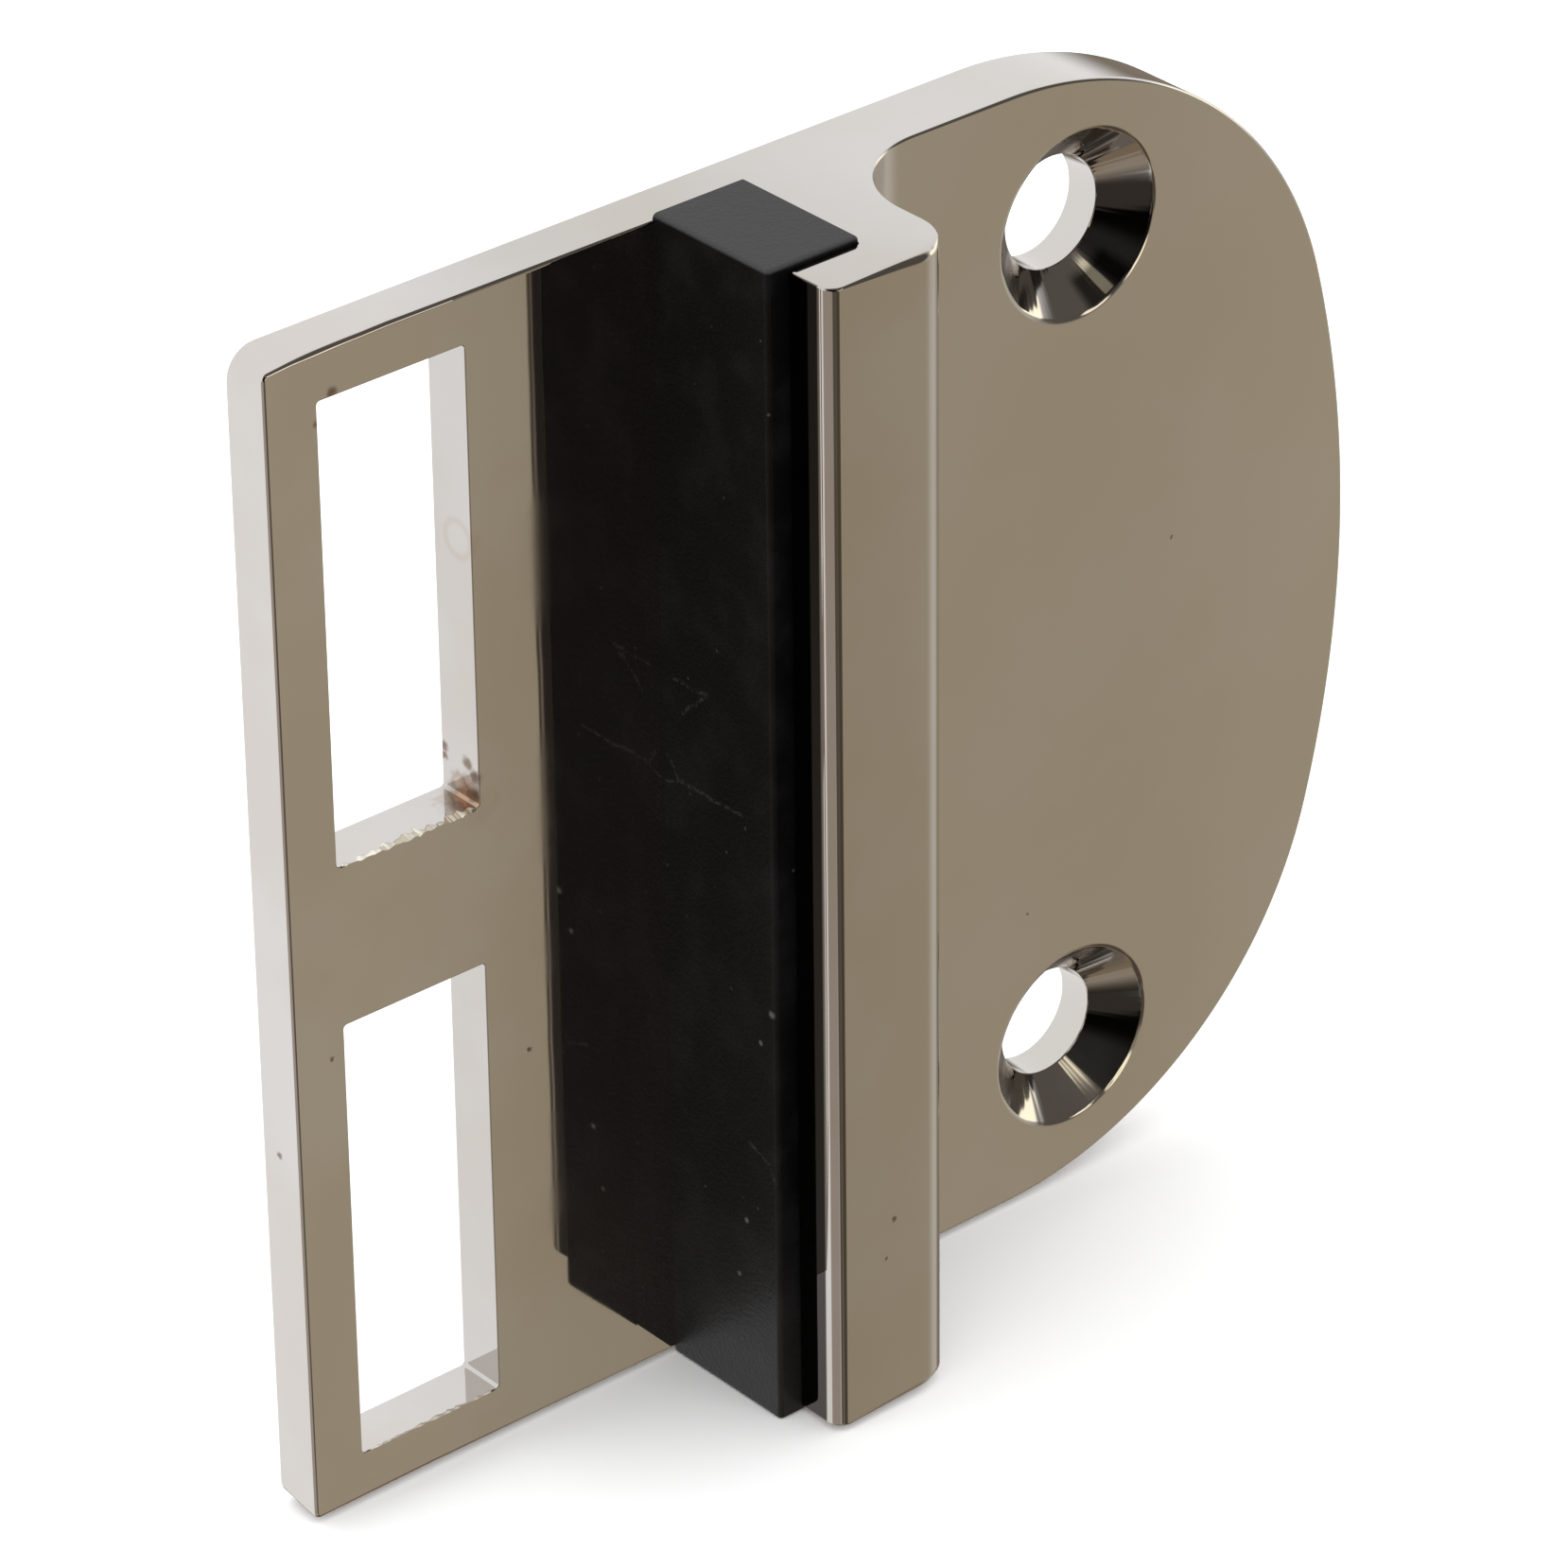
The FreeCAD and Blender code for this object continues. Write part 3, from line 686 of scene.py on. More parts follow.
def smooth_and_keep_flats(obj, angle_deg):
    """Smooth shading that leaves flat faces flat and true corners crisp."""
    work = bmesh.new()
    work.from_mesh(obj.data)
    for face in work.faces:
        face.smooth = True
    for edge in work.edges:
        edge.smooth = len(edge.link_faces) == 2 \
            and edge.calc_face_angle() < math.radians(angle_deg)
    work.to_mesh(obj.data)
    work.free()
    weighted = obj.modifiers.new("flats", "WEIGHTED_NORMAL")
    weighted.keep_sharp = True
    weighted.weight = 100
    return bake_modifiers(obj)


nick_sills(metal)
smooth_and_keep_flats(metal, METAL_SMOOTH_DEG)
describe(metal)

# %% [markdown]
# The door would hit bare metal, so a rubber bar stands in the channel and takes the
# blow. The real one is cut from a moulded strip: four long sides, two cut ends, and
# edges that are soft to the touch. A cube from the Add menu with a Bevel modifier
# would do. Here the cube is stretched and rounded in one go with bmesh, because then
# the bar is worked out from its two far corners alone. It is pressed flat on the plate,
# so the edges there stay sharp. It is a little longer than the metal at both ends.

# %% Build the rubber bar
BUFFER_LOW = Vector((-24.65, -10.5, -30.5))
BUFFER_HIGH = Vector((-19.2, -2.7, 30.5))
BUFFER_EDGE_ROUND = 0.25
rubber = bpy.data.materials.new("black_rubber")


def buffer_bar():
    """A bar between the two far corners, with a round on all edges off the plate."""
    work = bmesh.new()
    bmesh.ops.create_cube(work, size=1.0)
    span = BUFFER_HIGH - BUFFER_LOW
    centre = (BUFFER_HIGH + BUFFER_LOW) / 2
    for vert in work.verts:
        vert.co = Vector(c * s for c, s in zip(vert.co, span)) + centre
        vert.co *= MM
    free = [edge for edge in work.edges
            if any(vert.co.y < (BUFFER_HIGH.y - TOUCH) * MM for vert in edge.verts)]
    bmesh.ops.bevel(work, geom=free, offset=BUFFER_EDGE_ROUND * MM, segments=4,
                    profile=0.5, affect="EDGES")
    mesh = bpy.data.meshes.new("rubber_bar")
    work.to_mesh(mesh)
    work.free()
    mesh.materials.append(rubber)
    return add_object("rubber_bar", mesh)


bar = buffer_bar()
smooth_and_keep_flats(bar, RUBBER_SMOOTH_DEG)
print("rubber bar:", [round(v, 2) for v in BUFFER_HIGH - BUFFER_LOW], "mm")

# %% [markdown]
# Finishes come next. A material is a recipe too: where on the object am I, how cloudy
# is it here, and is there a flaw nearby? All of them ask the object's own coordinates
# in millimetres, so a stain of 2 mm is written as 2 and stays put if the plate moves.

# %% Small tools for the finishes
def vector_step(tree, operation, *values):
    """Vector arithmetic. A step that measures gives a number, any other a vector."""
    node = put(tree, "ShaderNodeVectorMath", dict(enumerate(values)), operation=operation)
    measures = operation in ("DISTANCE", "DOT_PRODUCT", "LENGTH")
    return node.outputs[1 if measures else 0]


def scaled(tree, vector, scale):
    """A vector made longer or shorter."""
    return get(tree, "ShaderNodeVectorMath", {0: vector, "Scale": scale},
               operation="SCALE")


def millimetres(tree):
    """The place on the object, in millimetres."""
    return scaled(tree, put(tree, "ShaderNodeTexCoord").outputs["Object"], 1 / MM)


def axis_of(tree, at, axis):
    """One coordinate of a place."""
    return put(tree, "ShaderNodeSeparateXYZ", {0: at}).outputs[axis]


def noise(tree, at, scale, detail=2.0, stretch=(1, 1, 1), shift=(0, 0, 0)):
    """Smooth random values around one half. The scale is in bumps per millimetre."""
    place = vector_step(tree, "MULTIPLY_ADD", at, stretch, shift)
    return put(tree, "ShaderNodeTexNoise",
               {"Vector": place, "Scale": scale, "Detail": detail}).outputs["Fac"]


def ease(tree, value, start, end, low=0.0, high=1.0):
    """Go softly from low to high while the value goes from start to end."""
    return get(tree, "ShaderNodeMapRange",
               {"Value": value, "From Min": start, "From Max": end, "To Min": low, "To Max": high},
               interpolation_type="SMOOTHSTEP")


def blend_colours(tree, share, first, second):
    """The first colour where the share is 0 and the second where it is 1."""
    mixed = put(tree, "ShaderNodeMix", {"Factor": share}, data_type="RGBA")
    for socket, colour in ((mixed.inputs[6], first), (mixed.inputs[7], second)):
        if isinstance(colour, bpy.types.NodeSocket):
            tree.links.new(colour, socket)
        else:
            socket.default_value = (*colour, 1)
    return mixed.outputs[2]


def product(tree, shares):
    """Where all the shares are high at once."""
    return reduce(lambda one, other: calculate(tree, "MULTIPLY", one, other), shares)


def lay_over(tree, colour, mark, share, strength):
    """The colour with a mark's colour over it, at full strength where the share is 1."""
    return blend_colours(tree, product(tree, [share, strength]), colour, mark)


def near_spot(tree, at, centre, full, faded):
    """1 up to the full distance from the centre and 0 from the faded one."""
    return ease(tree, vector_step(tree, "DISTANCE", at, centre), full, faded, 1.0, 0.0)


def near_stroke(tree, at, start, end, width):
    """1 on the straight line between two places, and 0 a width away from it."""
    run = Vector(end) - Vector(start)
    offset = vector_step(tree, "SUBTRACT", at, start)
    along = vector_step(tree, "DOT_PRODUCT", offset, run / run.length_squared)
    along = get(tree, "ShaderNodeClamp", {"Value": along})
    gap = vector_step(tree, "DISTANCE", offset, scaled(tree, run, along))
    return ease(tree, gap, 0.0, width, 1.0, 0.0)


def between(tree, value, low, high, soft):
    """1 while the value lies between low and high, with soft borders on the inside."""
    return product(tree, [ease(tree, value, low, low + soft),
                          ease(tree, value, high - soft, high, 1.0, 0.0)])


def strongest(tree, shares):
    """Where at least one of the shares is high."""
    return reduce(lambda one, other: calculate(tree, "MAXIMUM", one, other), shares)


def shaken(tree, at, scale, reach):
    """The place moved a little at random, which makes straight borders ragged."""
    cloud = put(tree, "ShaderNodeTexNoise", {"Vector": at, "Scale": scale, "Detail": 3.0})
    push = vector_step(tree, "SUBTRACT", cloud.outputs["Color"], (0.5, 0.5, 0.5))
    return vector_step(tree, "MULTIPLY_ADD", push, (reach,) * 3, at)


def start_finish(owner):
    """The empty node tree of a material or a world."""
    owner.use_nodes = True
    owner.node_tree.nodes.clear()
    return owner.node_tree


def end_finish(tree, colour, rough, bump_height, bump_mm, metallic, shine=0.5):
    """Put colour, roughness and relief into one shader."""
    bump = put(tree, "ShaderNodeBump", {"Height": bump_height, "Strength": 1.0,
                                        "Distance": bump_mm * MM})
    shader = put(tree, "ShaderNodeBsdfPrincipled",
                 {"Base Color": colour, "Metallic": metallic, "Roughness": rough,
                  "Specular IOR Level": shine, "Normal": bump.outputs[0]})
    put(tree, "ShaderNodeOutputMaterial", {"Surface": shader.outputs[0]})


# %% [markdown]
# Polished nickel mirrors the room with a warm tint. Its own colour is never quite even:
# it is cloudy. On top of that, painted shade darkens its mirror image from the left end
# rightwards, and painted light makes it lighter again from the lip to the round end.

# %% The nickel's own tone, with painted shade and light along the plate
NICKEL_WARM = (0.652, 0.610, 0.562)
NICKEL_PALE = (0.686, 0.652, 0.622)
CLOUD_SCALE = 0.10
PAINTED_SHADE_TONE = (0.27, 0.235, 0.18)
PAINTED_LIGHT_TONE = (0.86, 0.83, 0.79)
# From one X to another the tone moves by a share towards the painted shade, or towards
# the painted light where the share is negative.
PAINTED_LIGHT_AND_SHADE_ALONG_X = [(-43.0, -29.0, 0.24), (-24.0, -11.0, -0.24), (3.0, 18.0, -0.20)]


def nickel_tone(tree, at):
    """The metal's colour: cloudy, with painted shade and painted light along X."""
    clouds = ease(tree, noise(tree, at, CLOUD_SCALE, 3.0), 0.35, 0.65)
    colour = blend_colours(tree, clouds, NICKEL_WARM, NICKEL_PALE)
    across = axis_of(tree, at, "X")
    for start, end, share in PAINTED_LIGHT_AND_SHADE_ALONG_X:
        reached = ease(tree, across, start, end, 0.0, abs(share))
        colour = blend_colours(tree, reached, colour, PAINTED_SHADE_TONE if share > 0 else PAINTED_LIGHT_TONE)
    return colour


# %% [markdown]
# Up close the nickel is not perfect. Plating fluid that stayed in a corner dried to a
# brown stain, in the lower right corner of the upper opening, and there are a few
# specks and a faint ring. The sills' file marks are bare metal, painted brighter than
# it is as a painted glint. The lip's end beside the rubber is painted near black, a
# painted shade. Each flaw or painted mark is a share from 0 to 1 that says where it is,
# and a colour that is laid over the metal by that share.

# %% Stains, marks and painted light on the nickel
STAIN_BROWN = (0.22, 0.15, 0.09)
STAIN_RED = (0.47, 0.29, 0.185)
STAIN_CORNER = (-35.45, -1.9, 4.15)
STAIN_FULL, STAIN_FADED = 0.55, 1.75
STAIN_STRENGTH = 0.85
# The stain lies inside the opening. This much of it shows on the plate's front, and it
# is all there from this depth.
STAIN_ON_FRONT = 0.06
STAIN_DEPTH = 0.12
SPECK_BROWN = (0.19, 0.115, 0.075)
SPECK_STRENGTH = 0.8
# A place and the size of the speck there.
SPECKS = [
    ((-42.8, -2.7, 27.85), 0.42), ((-43.7, -2.6, 26.6), 0.30), ((-35.45, -0.2, 6.3), 0.42),
    ((-35.45, -0.2, 5.8), 0.34), ((-35.45, -1.9, 6.1), 0.50), ((-35.45, -2.4, 5.6), 0.50),
    ((-19.9, -13.3, -19.7), 0.22), ((-20.4, -13.3, -21.7), 0.16),
    ((-33.0, -2.7, -9.8), 0.20), ((-44.4, -2.7, -5.6), 0.18), ((-46.5, -1.2, -10.6), 0.25),
    ((6.2, -3.9, 3.5), 0.14), ((-3.0, -3.9, -14.0), 0.12),
]
# The file marks' colour: bare metal, painted brighter as a painted glint.
BARE_METAL_GLINT = (0.93, 0.88, 0.74)
RING_PLACE = (-35.45, -1.74, 17.58)
RING_INSIDE, RING_OUTSIDE = 0.6, 1.2
RING_STRENGTH = 0.2
# The lip's end beside the rubber is painted near black: a painted shade.
LIP_END_SHADE_FROM_Y = -12.5
LIP_END_PAINTED_SHADE = (0.03, 0.026, 0.022)
LIP_END_SHADE_STRENGTH = 0.96
print(len(SPECKS), "specks")


def add_stains(tree, at, colour):
    """The colour with the stain and the specks, and the share that they cover."""
    stain = near_spot(tree, shaken(tree, at, 1.6, 1.5), STAIN_CORNER, STAIN_FULL, STAIN_FADED)
    inside = ease(tree, axis_of(tree, at, "Y"), -LEAF_THICKNESS - TOUCH,
                  -LEAF_THICKNESS + STAIN_DEPTH, STAIN_ON_FRONT, 1.0)
    stain = product(tree, [stain, inside])
    blotch = ease(tree, noise(tree, at, 1.1, 2.0), 0.46, 0.60)
    stain_colour = blend_colours(tree, blotch, STAIN_BROWN, STAIN_RED)
    colour = lay_over(tree, colour, stain_colour, stain, STAIN_STRENGTH)
    uneven = shaken(tree, at, 3.0, 0.35)
    specks = strongest(tree, [near_spot(tree, uneven, centre, 0.25 * size, size)
                              for centre, size in SPECKS])
    colour = lay_over(tree, colour, SPECK_BROWN, specks, SPECK_STRENGTH)
    return colour, strongest(tree, [stain, specks])


def add_marks(tree, at, colour):
    """The colour with the file marks, painted bright as a glint, the ring, and the painted shade
    on the lip's end.
    """
    across, depth, height = (axis_of(tree, at, axis) for axis in "XYZ")
    nick_back = NICK_SLOPE * max(NICK_DEPTHS) + OPENING_ROUND - LEAF_THICKNESS
    left, right = (OPENING_CENTRE_X + side * OPENING_WIDTH / 2 for side in (-1, 1))
    for level in sill_levels():
        nick = product(tree, [
            between(tree, height, level - 0.5, level - 0.01, 0.03),
            between(tree, depth, -LEAF_THICKNESS + 0.005, nick_back + 0.05, 0.015),
            between(tree, across, left, right, 0.03)])
        # The bare file marks, painted bright as a painted glint.
        colour = blend_colours(tree, nick, colour, BARE_METAL_GLINT)
    far = vector_step(tree, "DISTANCE", at, RING_PLACE)
    ring = between(tree, far, RING_INSIDE, RING_OUTSIDE, 0.3)
    colour = lay_over(tree, colour, STAIN_RED, ring, RING_STRENGTH)
    # Painted shade: the lip's end beside the rubber, painted near black.
    lip_end_shade = product(tree, [between(tree, across, LIP_LEFT_X - 0.3, LIP_LEFT_X + 0.10, 0.08),
                           between(tree, depth, LIP_END_SHADE_FROM_Y, LIP_BACK_Y + 0.2, 0.15)])
    return lay_over(tree, colour, LIP_END_PAINTED_SHADE, lip_end_shade, LIP_END_SHADE_STRENGTH)


# %% [markdown]
# The countersinks are the roughest places. Their bit chatters and leaves rays, which
# are relief: random heights that depend only on the direction from the hole's middle.
# The cones are painted brown on the left and black on the right, as painted shade.
# A direction's cosine against a chosen side tells how near to that side it points.

# %% The countersinks' chatter marks and painted shade
def side_at(degrees):
    """A direction across the plate, counted up from the right."""
    return (math.cos(math.radians(degrees)), 0, math.sin(math.radians(degrees)))


def cosines(faded_deg, full_deg):
    """Where a patch begins and where it is full, as cosines of the angle to its middle."""
    return math.cos(math.radians(faded_deg)), math.cos(math.radians(full_deg))


CHATTER_SCALE = 1.8
CHATTER_DEPTH = 13.0
# The cones' painted shade: brown on the left, black on the right.
SEAT_PAINTED_BROWN = (0.13, 0.10, 0.07)
SEAT_PAINTED_BROWN_STRENGTH = 0.85
SEAT_PAINTED_DARK = (0.020, 0.018, 0.016)
PAINTED_DARK_SIDE = side_at(-6)
PAINTED_DARK_COSINES = cosines(30, 14)
PAINTED_DARK_STRENGTH = 0.93
# In the upper hole more painted black lies below on the right, off the throat.
LOWER_PAINTED_DARK_SIDE = side_at(-62)
LOWER_PAINTED_DARK_COSINES = cosines(22, 13)
LOWER_PAINTED_DARK_FROM, LOWER_PAINTED_DARK_FULL = 3.6, 3.9
LOWER_PAINTED_DARK_STRENGTH = 0.85


def finish_seat(tree, at, colour, sign):
    """The upper (1) or lower (-1) countersink: colour, its share, painted shade and chatter."""
    across, depth, height = (axis_of(tree, at, axis) for axis in "XYZ")
    centre_z = sign * HOLE_SPACING / 2
    offset = vector_step(tree, "SUBTRACT", at, (0, -SCREW_PLATE_THICKNESS, centre_z))
    far = vector_step(tree, "LENGTH", offset)
    in_cone = between(tree, depth, -SCREW_PLATE_THICKNESS - 0.1,
                      (SEAT_DIAMETER - HOLE_DIAMETER) / 2 - SCREW_PLATE_THICKNESS, 0.05)
    in_rim = ease(tree, far, SEAT_DIAMETER / 2 - 0.15, SEAT_DIAMETER / 2, 1.0, 0.0)
    seat = product(tree, [in_cone, in_rim])

    # Painted brown shade on the cone's left.
    left_half = product(tree, [ease(tree, across, 0.2, 1.3, 1.0, 0.0),
                               ease(tree, height, centre_z - 1.6, centre_z - 0.8)])
    left_end = product(tree, [ease(tree, across, -3.0, -2.3, 0.7, 0.0),
                              ease(tree, height, centre_z - 2.6, centre_z - 1.4)])
    seat_shade = product(tree, [seat, strongest(tree, [left_half, left_end])])
    colour = lay_over(tree, colour, SEAT_PAINTED_BROWN, seat_shade, SEAT_PAINTED_BROWN_STRENGTH)

    # Painted black shade on the cone's right.
    around = vector_step(tree, "NORMALIZE", vector_step(tree, "MULTIPLY", offset, (1, 0, 1)))
    toward_painted_dark = vector_step(tree, "DOT_PRODUCT", around, PAINTED_DARK_SIDE)
    painted_dark = product(tree, [seat, ease(tree, toward_painted_dark, *PAINTED_DARK_COSINES)])
    colour = lay_over(tree, colour, SEAT_PAINTED_DARK, painted_dark, PAINTED_DARK_STRENGTH)
    if sign > 0:
        toward_lower_dark = vector_step(tree, "DOT_PRODUCT", around, LOWER_PAINTED_DARK_SIDE)
        lower_dark = product(tree, [seat, ease(tree, toward_lower_dark, *LOWER_PAINTED_DARK_COSINES),
                              ease(tree, far, LOWER_PAINTED_DARK_FROM, LOWER_PAINTED_DARK_FULL)])
        colour = lay_over(tree, colour, SEAT_PAINTED_DARK, lower_dark, LOWER_PAINTED_DARK_STRENGTH)

    waves = noise(tree, around, CHATTER_SCALE, 3.0, shift=(5 + sign, 2, 7))
    return colour, seat, seat_shade, product(tree, [calculate(tree, "SUBTRACT", waves, 0.5), seat])


# %% [markdown]
# Roughness and relief finish the metal. The wheel leaves faint lines along the plate
# and fingers leave haze. The wheel is too large for the hollow beside the rib, which
# stays duller. The plate also falls a little towards the channel, which widens the
# rubber's mirror image. All relief is counted in small steps of one size.

# %% Polished nickel
RELIEF_MM = 0.012
HOLLOW_ROUGH = 0.15
HOLLOW_FULL, HOLLOW_FADED = 3.0, 5.5
HOLLOW_FRONT_Y = -9.5
STAIN_ROUGH = 0.14
SEAT_ROUGH = 0.05
SEAT_SHADE_ROUGH = 0.40
DISH_X = (-36.0, -27.0)
DISH_DEPTH = 0.15


def polished_nickel(material):
    """Mirror-polished nickel with its flaws, painted shade and painted glints."""
    tree = start_finish(material)
    at = millimetres(tree)
    across = axis_of(tree, at, "X")
    colour, stained = add_stains(tree, at, nickel_tone(tree, at))
    colour = add_marks(tree, at, colour)
    seats, seat_shades, chatters = [], [], []
    for sign in (-1, 1):
        colour, seat, seat_shade, chatter = finish_seat(tree, at, colour, sign)
        seats.append(seat)
        seat_shades.append(seat_shade)
        chatters.append(chatter)

    polish_lines = noise(tree, at, 1.0, 2.0, stretch=(7.0, 7.0, 0.10))
    haze = ease(tree, noise(tree, at, 0.16, 4.0, shift=(9, 4, 2)), 0.45, 0.70)
    hollow = product(tree, [
        ease(tree, across, RIB_RIGHT_X - 0.1, RIB_RIGHT_X),
        ease(tree, across, RIB_RIGHT_X + HOLLOW_FULL, RIB_RIGHT_X + HOLLOW_FADED, 1.0, 0.0),
        between(tree, axis_of(tree, at, "Y"), HOLLOW_FRONT_Y, -SCREW_PLATE_THICKNESS, 0.2)])
    rough = calculate(tree, "MULTIPLY_ADD", polish_lines, 0.03, 0.018)
    for share, roughness in ((haze, 0.045), (stained, STAIN_ROUGH), (hollow, HOLLOW_ROUGH),
                             (strongest(tree, seats), SEAT_ROUGH),
                             (strongest(tree, seat_shades), SEAT_SHADE_ROUGH)):
        rough = calculate(tree, "MULTIPLY_ADD", share, roughness, rough)

    ripple = noise(tree, at, 0.22, 1.0, shift=(3, 8, 5))
    relief = product(tree, [polish_lines, 0.012])
    heights = [(ripple, 0.35), (stained, -0.25)] + [(waves, CHATTER_DEPTH) for waves in chatters]
    for share, steps in heights:
        relief = calculate(tree, "MULTIPLY_ADD", share, steps, relief)
    fall = get(tree, "ShaderNodeMapRange",
               {"Value": across, "From Min": DISH_X[0], "From Max": DISH_X[1],
                "To Min": DISH_DEPTH / RELIEF_MM, "To Max": 0.0})
    end_finish(tree, colour, rough, calculate(tree, "ADD", relief, fall), RELIEF_MM, 1.0)


polished_nickel(nickel)
print("nickel finish:", len(nickel.node_tree.nodes), "nodes")

# %% [markdown]
# The rubber is cut from a long moulded strip. Its sides are nearly black. Its cut ends
# are coarser, and they are painted grey as a painted highlight for the light that falls
# on the bar's top. It holds what touches it: a few lint scratches, pale specks, and a
# dusty bloom near the lower free corner.

# %% Black rubber
RUBBER_DARK = (0.0016, 0.0014, 0.0016)
RUBBER_WORN = (0.0046, 0.0042, 0.0045)
# The cut ends' greys are a painted highlight for the light on the bar's top.
RUBBER_LIT_END = (0.045, 0.045, 0.046)
RUBBER_LIT_END_DARK = (0.032, 0.032, 0.033)
RUBBER_SHINE = 0.16
RUBBER_RELIEF_MM = 0.02
DUST = (0.16, 0.15, 0.14)
BLOOM_PLACE = (BUFFER_LOW.x, BUFFER_LOW.y + 2.0, BUFFER_LOW.z)
BLOOM_REACH = 13.0
BLOOM_STRENGTH = 0.06
# Each mark runs through its places on the bar's free side, given as Y and Z.
SCRATCHES = [
    [(-3.5, 7.1), (-5.9, 7.2), (-4.2, 5.6)],
    [(-3.0, 2.9), (-3.9, 1.8), (-6.8, 1.9), (-8.2, 1.9)],
    [(-2.9, 1.5), (-4.1, 1.9)],
    [(-8.5, -15.7), (-9.9, -16.3), (-10.3, -17.2)],
]
SCRATCH_WIDTH = 0.16
# A place on that side and the size of the spot there.
SPOTS = [((-10.2, -7.9), 0.28), ((-9.4, -9.8), 0.20), ((-8.2, -20.2), 0.22), ((-7.6, -23.5), 0.18)]


def black_rubber(material):
    """Dull black rubber with dust, scratches, and coarse cut ends with a painted highlight."""
    tree = start_finish(material)
    at = millimetres(tree)
    grain = noise(tree, at, 5.0, 4.0)
    patches = ease(tree, noise(tree, at, 0.35, 4.0), 0.42, 0.68)
    colour = blend_colours(tree, patches, RUBBER_DARK, RUBBER_WORN)
    # The cut ends are painted grey as a painted highlight. They are also rougher and coarser.
    from_middle = calculate(tree, "ABSOLUTE", axis_of(tree, at, "Z"))
    end = ease(tree, from_middle, BUFFER_HIGH.z - 0.22, BUFFER_HIGH.z - 0.05)
    lit_end_tone = blend_colours(tree, grain, RUBBER_LIT_END_DARK, RUBBER_LIT_END)
    colour = blend_colours(tree, end, colour, lit_end_tone)
    bloom = near_spot(tree, at, BLOOM_PLACE, 0.0, BLOOM_REACH)
    colour = lay_over(tree, colour, DUST, bloom, BLOOM_STRENGTH)

    wavy = shaken(tree, at, 0.9, 0.5)
    strokes = []
    for mark in SCRATCHES:
        places = [(BUFFER_LOW.x, y, z) for y, z in mark]
        for start, end_place in zip(places, places[1:]):
            strokes.append(near_stroke(tree, wavy, start, end_place, SCRATCH_WIDTH))
    scratch = product(tree, [strongest(tree, strokes), ease(tree, grain, 0.38, 0.60)])
    spots = strongest(tree, [near_spot(tree, at, (BUFFER_LOW.x, y, z), 0.02, size)
                             for (y, z), size in SPOTS])
    cells = put(tree, "ShaderNodeTexVoronoi", {"Vector": at, "Scale": 0.9, "Randomness": 1.0})
    chosen = ease(tree, axis_of(tree, cells.outputs["Color"], "X"), 0.80, 0.84)
    specks = product(tree, [chosen, ease(tree, cells.outputs["Distance"], 0.05, 0.10, 1.0, 0.0)])
    flaws = ((scratch, 0.14), (spots, 0.55), (specks, 0.16))
    pale = strongest(tree, [product(tree, flaw) for flaw in flaws])
    colour = blend_colours(tree, pale, colour, DUST)

    rough = calculate(tree, "MULTIPLY_ADD", grain, 0.16, 0.28)
    rough = calculate(tree, "MULTIPLY_ADD", end, 0.22, rough)
    relief = calculate(tree, "MULTIPLY_ADD", end, product(tree, [grain, 2.0]), grain)
    relief = calculate(tree, "MULTIPLY_ADD", scratch, -0.6, relief)
    end_finish(tree, colour, rough, relief, RUBBER_RELIEF_MM, 0.0, RUBBER_SHINE)


black_rubber(rubber)
print("rubber finish:", len(rubber.node_tree.nodes), "nodes")

# %% [markdown]
# The photo shows the plate cut out on white, without a shadow. A wide sheet of plain
# white paper gives the same ground with just a soft touch of shade where it stands.
# The paper and the lamp are left out of mirror reflections, so that the metal sees
# only the studio that the next cell paints.

# %% Lay the paper
FLOOR_HALF = 3.0
FLOOR_Z = BUFFER_LOW.z * MM
PAPER_WHITE = (0.93, 0.93, 0.93, 1)

paper = bpy.data.materials.new("white_paper")
tree = start_finish(paper)
sheet = put(tree, "ShaderNodeBsdfDiffuse", {"Color": PAPER_WHITE})
put(tree, "ShaderNodeOutputMaterial", {"Surface": sheet.outputs[0]})

floor_mesh = bpy.data.meshes.new("floor")
floor_corners = [(-1, -1), (1, -1), (1, 1), (-1, 1)]
floor_mesh.from_pydata([(x * FLOOR_HALF, y * FLOOR_HALF, FLOOR_Z) for x, y in floor_corners],
                       [], [(0, 1, 2, 3)])
floor_mesh.materials.append(paper)
floor = add_object("floor", floor_mesh)
floor.visible_glossy = False
print("paper at", round(FLOOR_Z / MM, 2), "mm")

# %% [markdown]
# A mirror shows its surroundings, so a polished part is lit by painting what it sees:
# a white tent above, behind and to the left, a dark room and the camera in front, a
# beige table below it with a dark edge and a few strips, dim walls at the sides, and
# four small warm lamps that make the glints in the countersinks and along the lip.
# Each is a patch on the sky with a direction, a width and a colour, laid over the tent
# one after the other. A patch that covers another has to come later in the list.

# %% Paint what the metal mirrors
scene = bpy.context.scene
scene.view_settings.view_transform = "Standard"
scene.view_settings.look = "None"
TENT = (1.03, 1.04, 1.065)
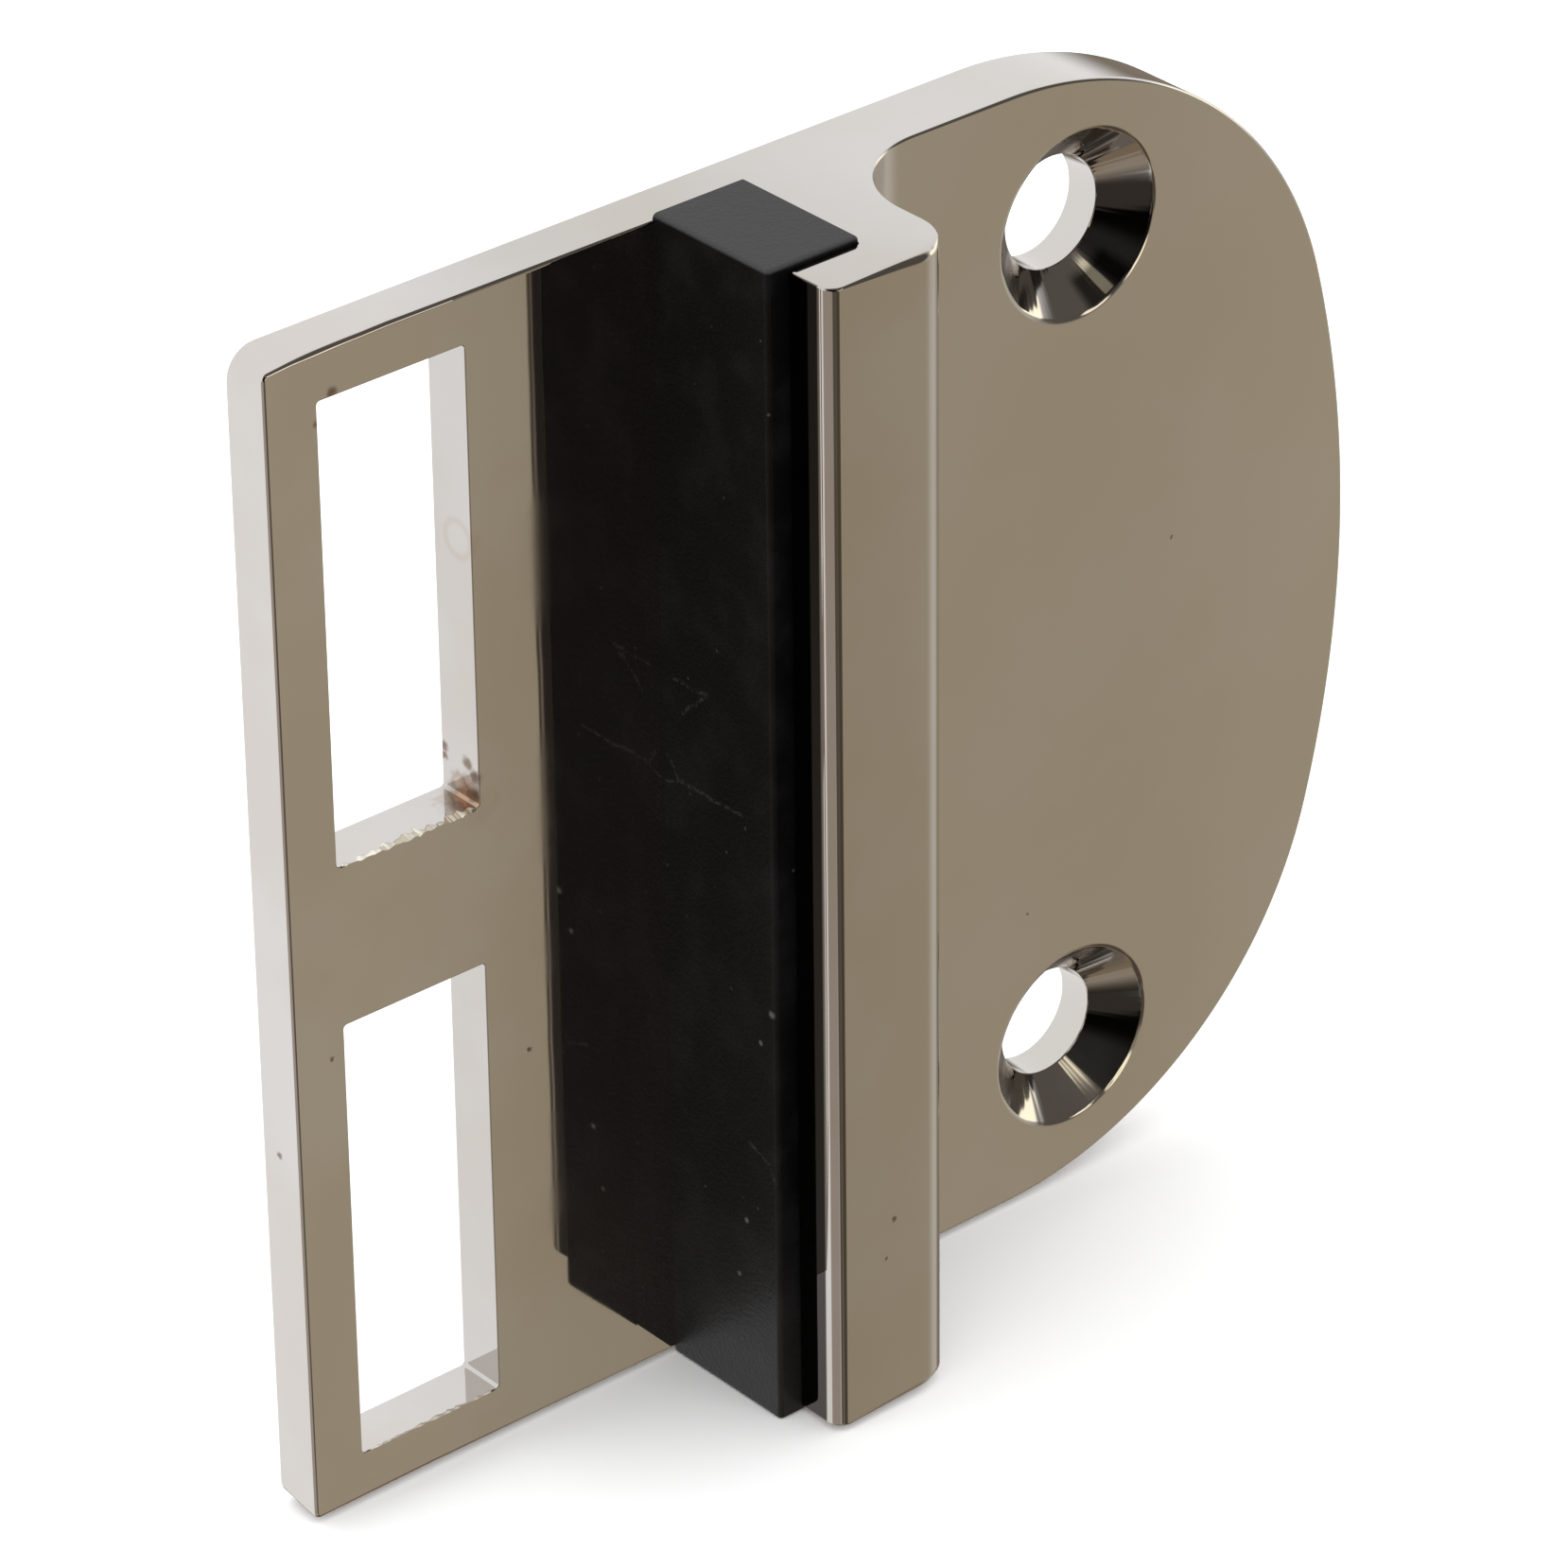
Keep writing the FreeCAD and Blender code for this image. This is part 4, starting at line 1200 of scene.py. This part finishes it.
# A direction, the angle up to which the patch is full, the one where it ends, its colour.
PATCHES = [
    ("dark room in front", (0.0, -1.0, 0.55), 62, 80, (0.11, 0.098, 0.088)),
    ("pale wall on the right", (0.85, -0.15, -0.50), 24, 46, (0.60, 0.57, 0.51)),
    ("beige table", (0.45, -0.75, -0.62), 26, 46, (0.43, 0.38, 0.29)),
    ("table's near edge", (0.05, -0.10, -1.0), 26, 46, (0.24, 0.185, 0.13)),
    ("camera", (-0.55, -0.75, 0.25), 28, 44, (0.010, 0.009, 0.008)),
    ("dim wall on the left", (-0.84, -0.30, -0.47), 24, 30, (0.44, 0.385, 0.345)),
    ("dark gap on the left", (-0.40, -0.765, -0.50), 5, 9, (0.13, 0.105, 0.08)),
    ("dark strip below", (0.10, -0.06, -0.99), 7, 13, (0.17, 0.15, 0.13)),
    ("pale strip below", (-0.38, -0.40, -0.83), 8, 14, (0.35, 0.305, 0.25)),
    ("dark table edge, left", (-0.056, -0.862, -0.503), 8, 13, (0.10, 0.08, 0.06)),
    ("dark table edge, middle", (0.105, -0.635, -0.765), 9, 14, (0.10, 0.08, 0.06)),
    ("dark table edge, right", (0.352, -0.364, -0.862), 9, 14, (0.10, 0.08, 0.06)),
    ("brown floor behind", (0.60, 0.62, -0.50), 20, 36, (0.23, 0.195, 0.155)),
    ("side lamp", (0.98, -0.06, 0.10), 10, 14, (1.7, 1.6, 1.3)),
    ("front lamp", (0.10, -0.98, -0.04), 6, 11, (1.5, 1.38, 1.08)),
    ("upper lamp", (0.0, -0.69, 0.72), 2, 5, (1.5, 1.4, 1.1)),
    ("edge lamp", (0.42, -0.86, 0.28), 6, 11, (1.5, 1.38, 1.15)),
]
PAPER_LIGHT = 1.6

world = bpy.data.worlds.new("studio")
scene.world = world
tree = start_finish(world)
ray = put(tree, "ShaderNodeTexCoord").outputs["Generated"]
colour = TENT
for name, centre, full_deg, faded_deg, patch in PATCHES:
    near = put(tree, "ShaderNodeVectorMath", {0: ray, 1: Vector(centre).normalized()},
               operation="DOT_PRODUCT").outputs["Value"]
    share = ease(tree, near, math.cos(math.radians(faded_deg)), math.cos(math.radians(full_deg)))
    colour = blend_colours(tree, share, colour, patch)
mirrored = put(tree, "ShaderNodeBackground", {"Color": colour, "Strength": 1.0})
plain = put(tree, "ShaderNodeBackground", {"Color": (1, 1, 1, 1), "Strength": PAPER_LIGHT})
is_mirror_ray = put(tree, "ShaderNodeLightPath").outputs["Is Glossy Ray"]
chosen = put(tree, "ShaderNodeMixShader",
             {0: is_mirror_ray, 1: plain.outputs[0], 2: mirrored.outputs[0]})
put(tree, "ShaderNodeOutputWorld", {"Surface": chosen.outputs[0]})
print("studio has", len(PATCHES), "patches")

# %% [markdown]
# One large soft lamp from the upper left gives the rubber its form and the paper a
# faint shade. It is as wide as it is far away, so no shade has a hard border.

# %% Hang the softbox
SOFTBOX_SIDE = 1.0
SOFTBOX_WATTS = 0.4
SOFTBOX_PLACE = Vector((-0.25, 0.25, 0.60))

lamp = bpy.data.lights.new("softbox", "AREA")
lamp.shape = "SQUARE"
lamp.size = SOFTBOX_SIDE
lamp.energy = SOFTBOX_WATTS
softbox = add_object("softbox", lamp)
aim = (-SOFTBOX_PLACE).to_track_quat("-Z", "Y").to_matrix().to_4x4()
softbox.matrix_world = Matrix.Translation(SOFTBOX_PLACE) @ aim
softbox.visible_glossy = False
print("softbox", SOFTBOX_SIDE, "m wide")

# %% [markdown]
# The two pieces now take the place of the solids that they dress. Both ride on the
# root, because nothing on a strike plate moves.

# %% Tie the pieces to the model
for piece, node, slot in ((metal, "strike_body", "polished_nickel"),
                          (bar, "buffer_strip", "black_rubber")):
    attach(piece, "root")
    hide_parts(node)
    print(piece.name, "takes the place of", node)
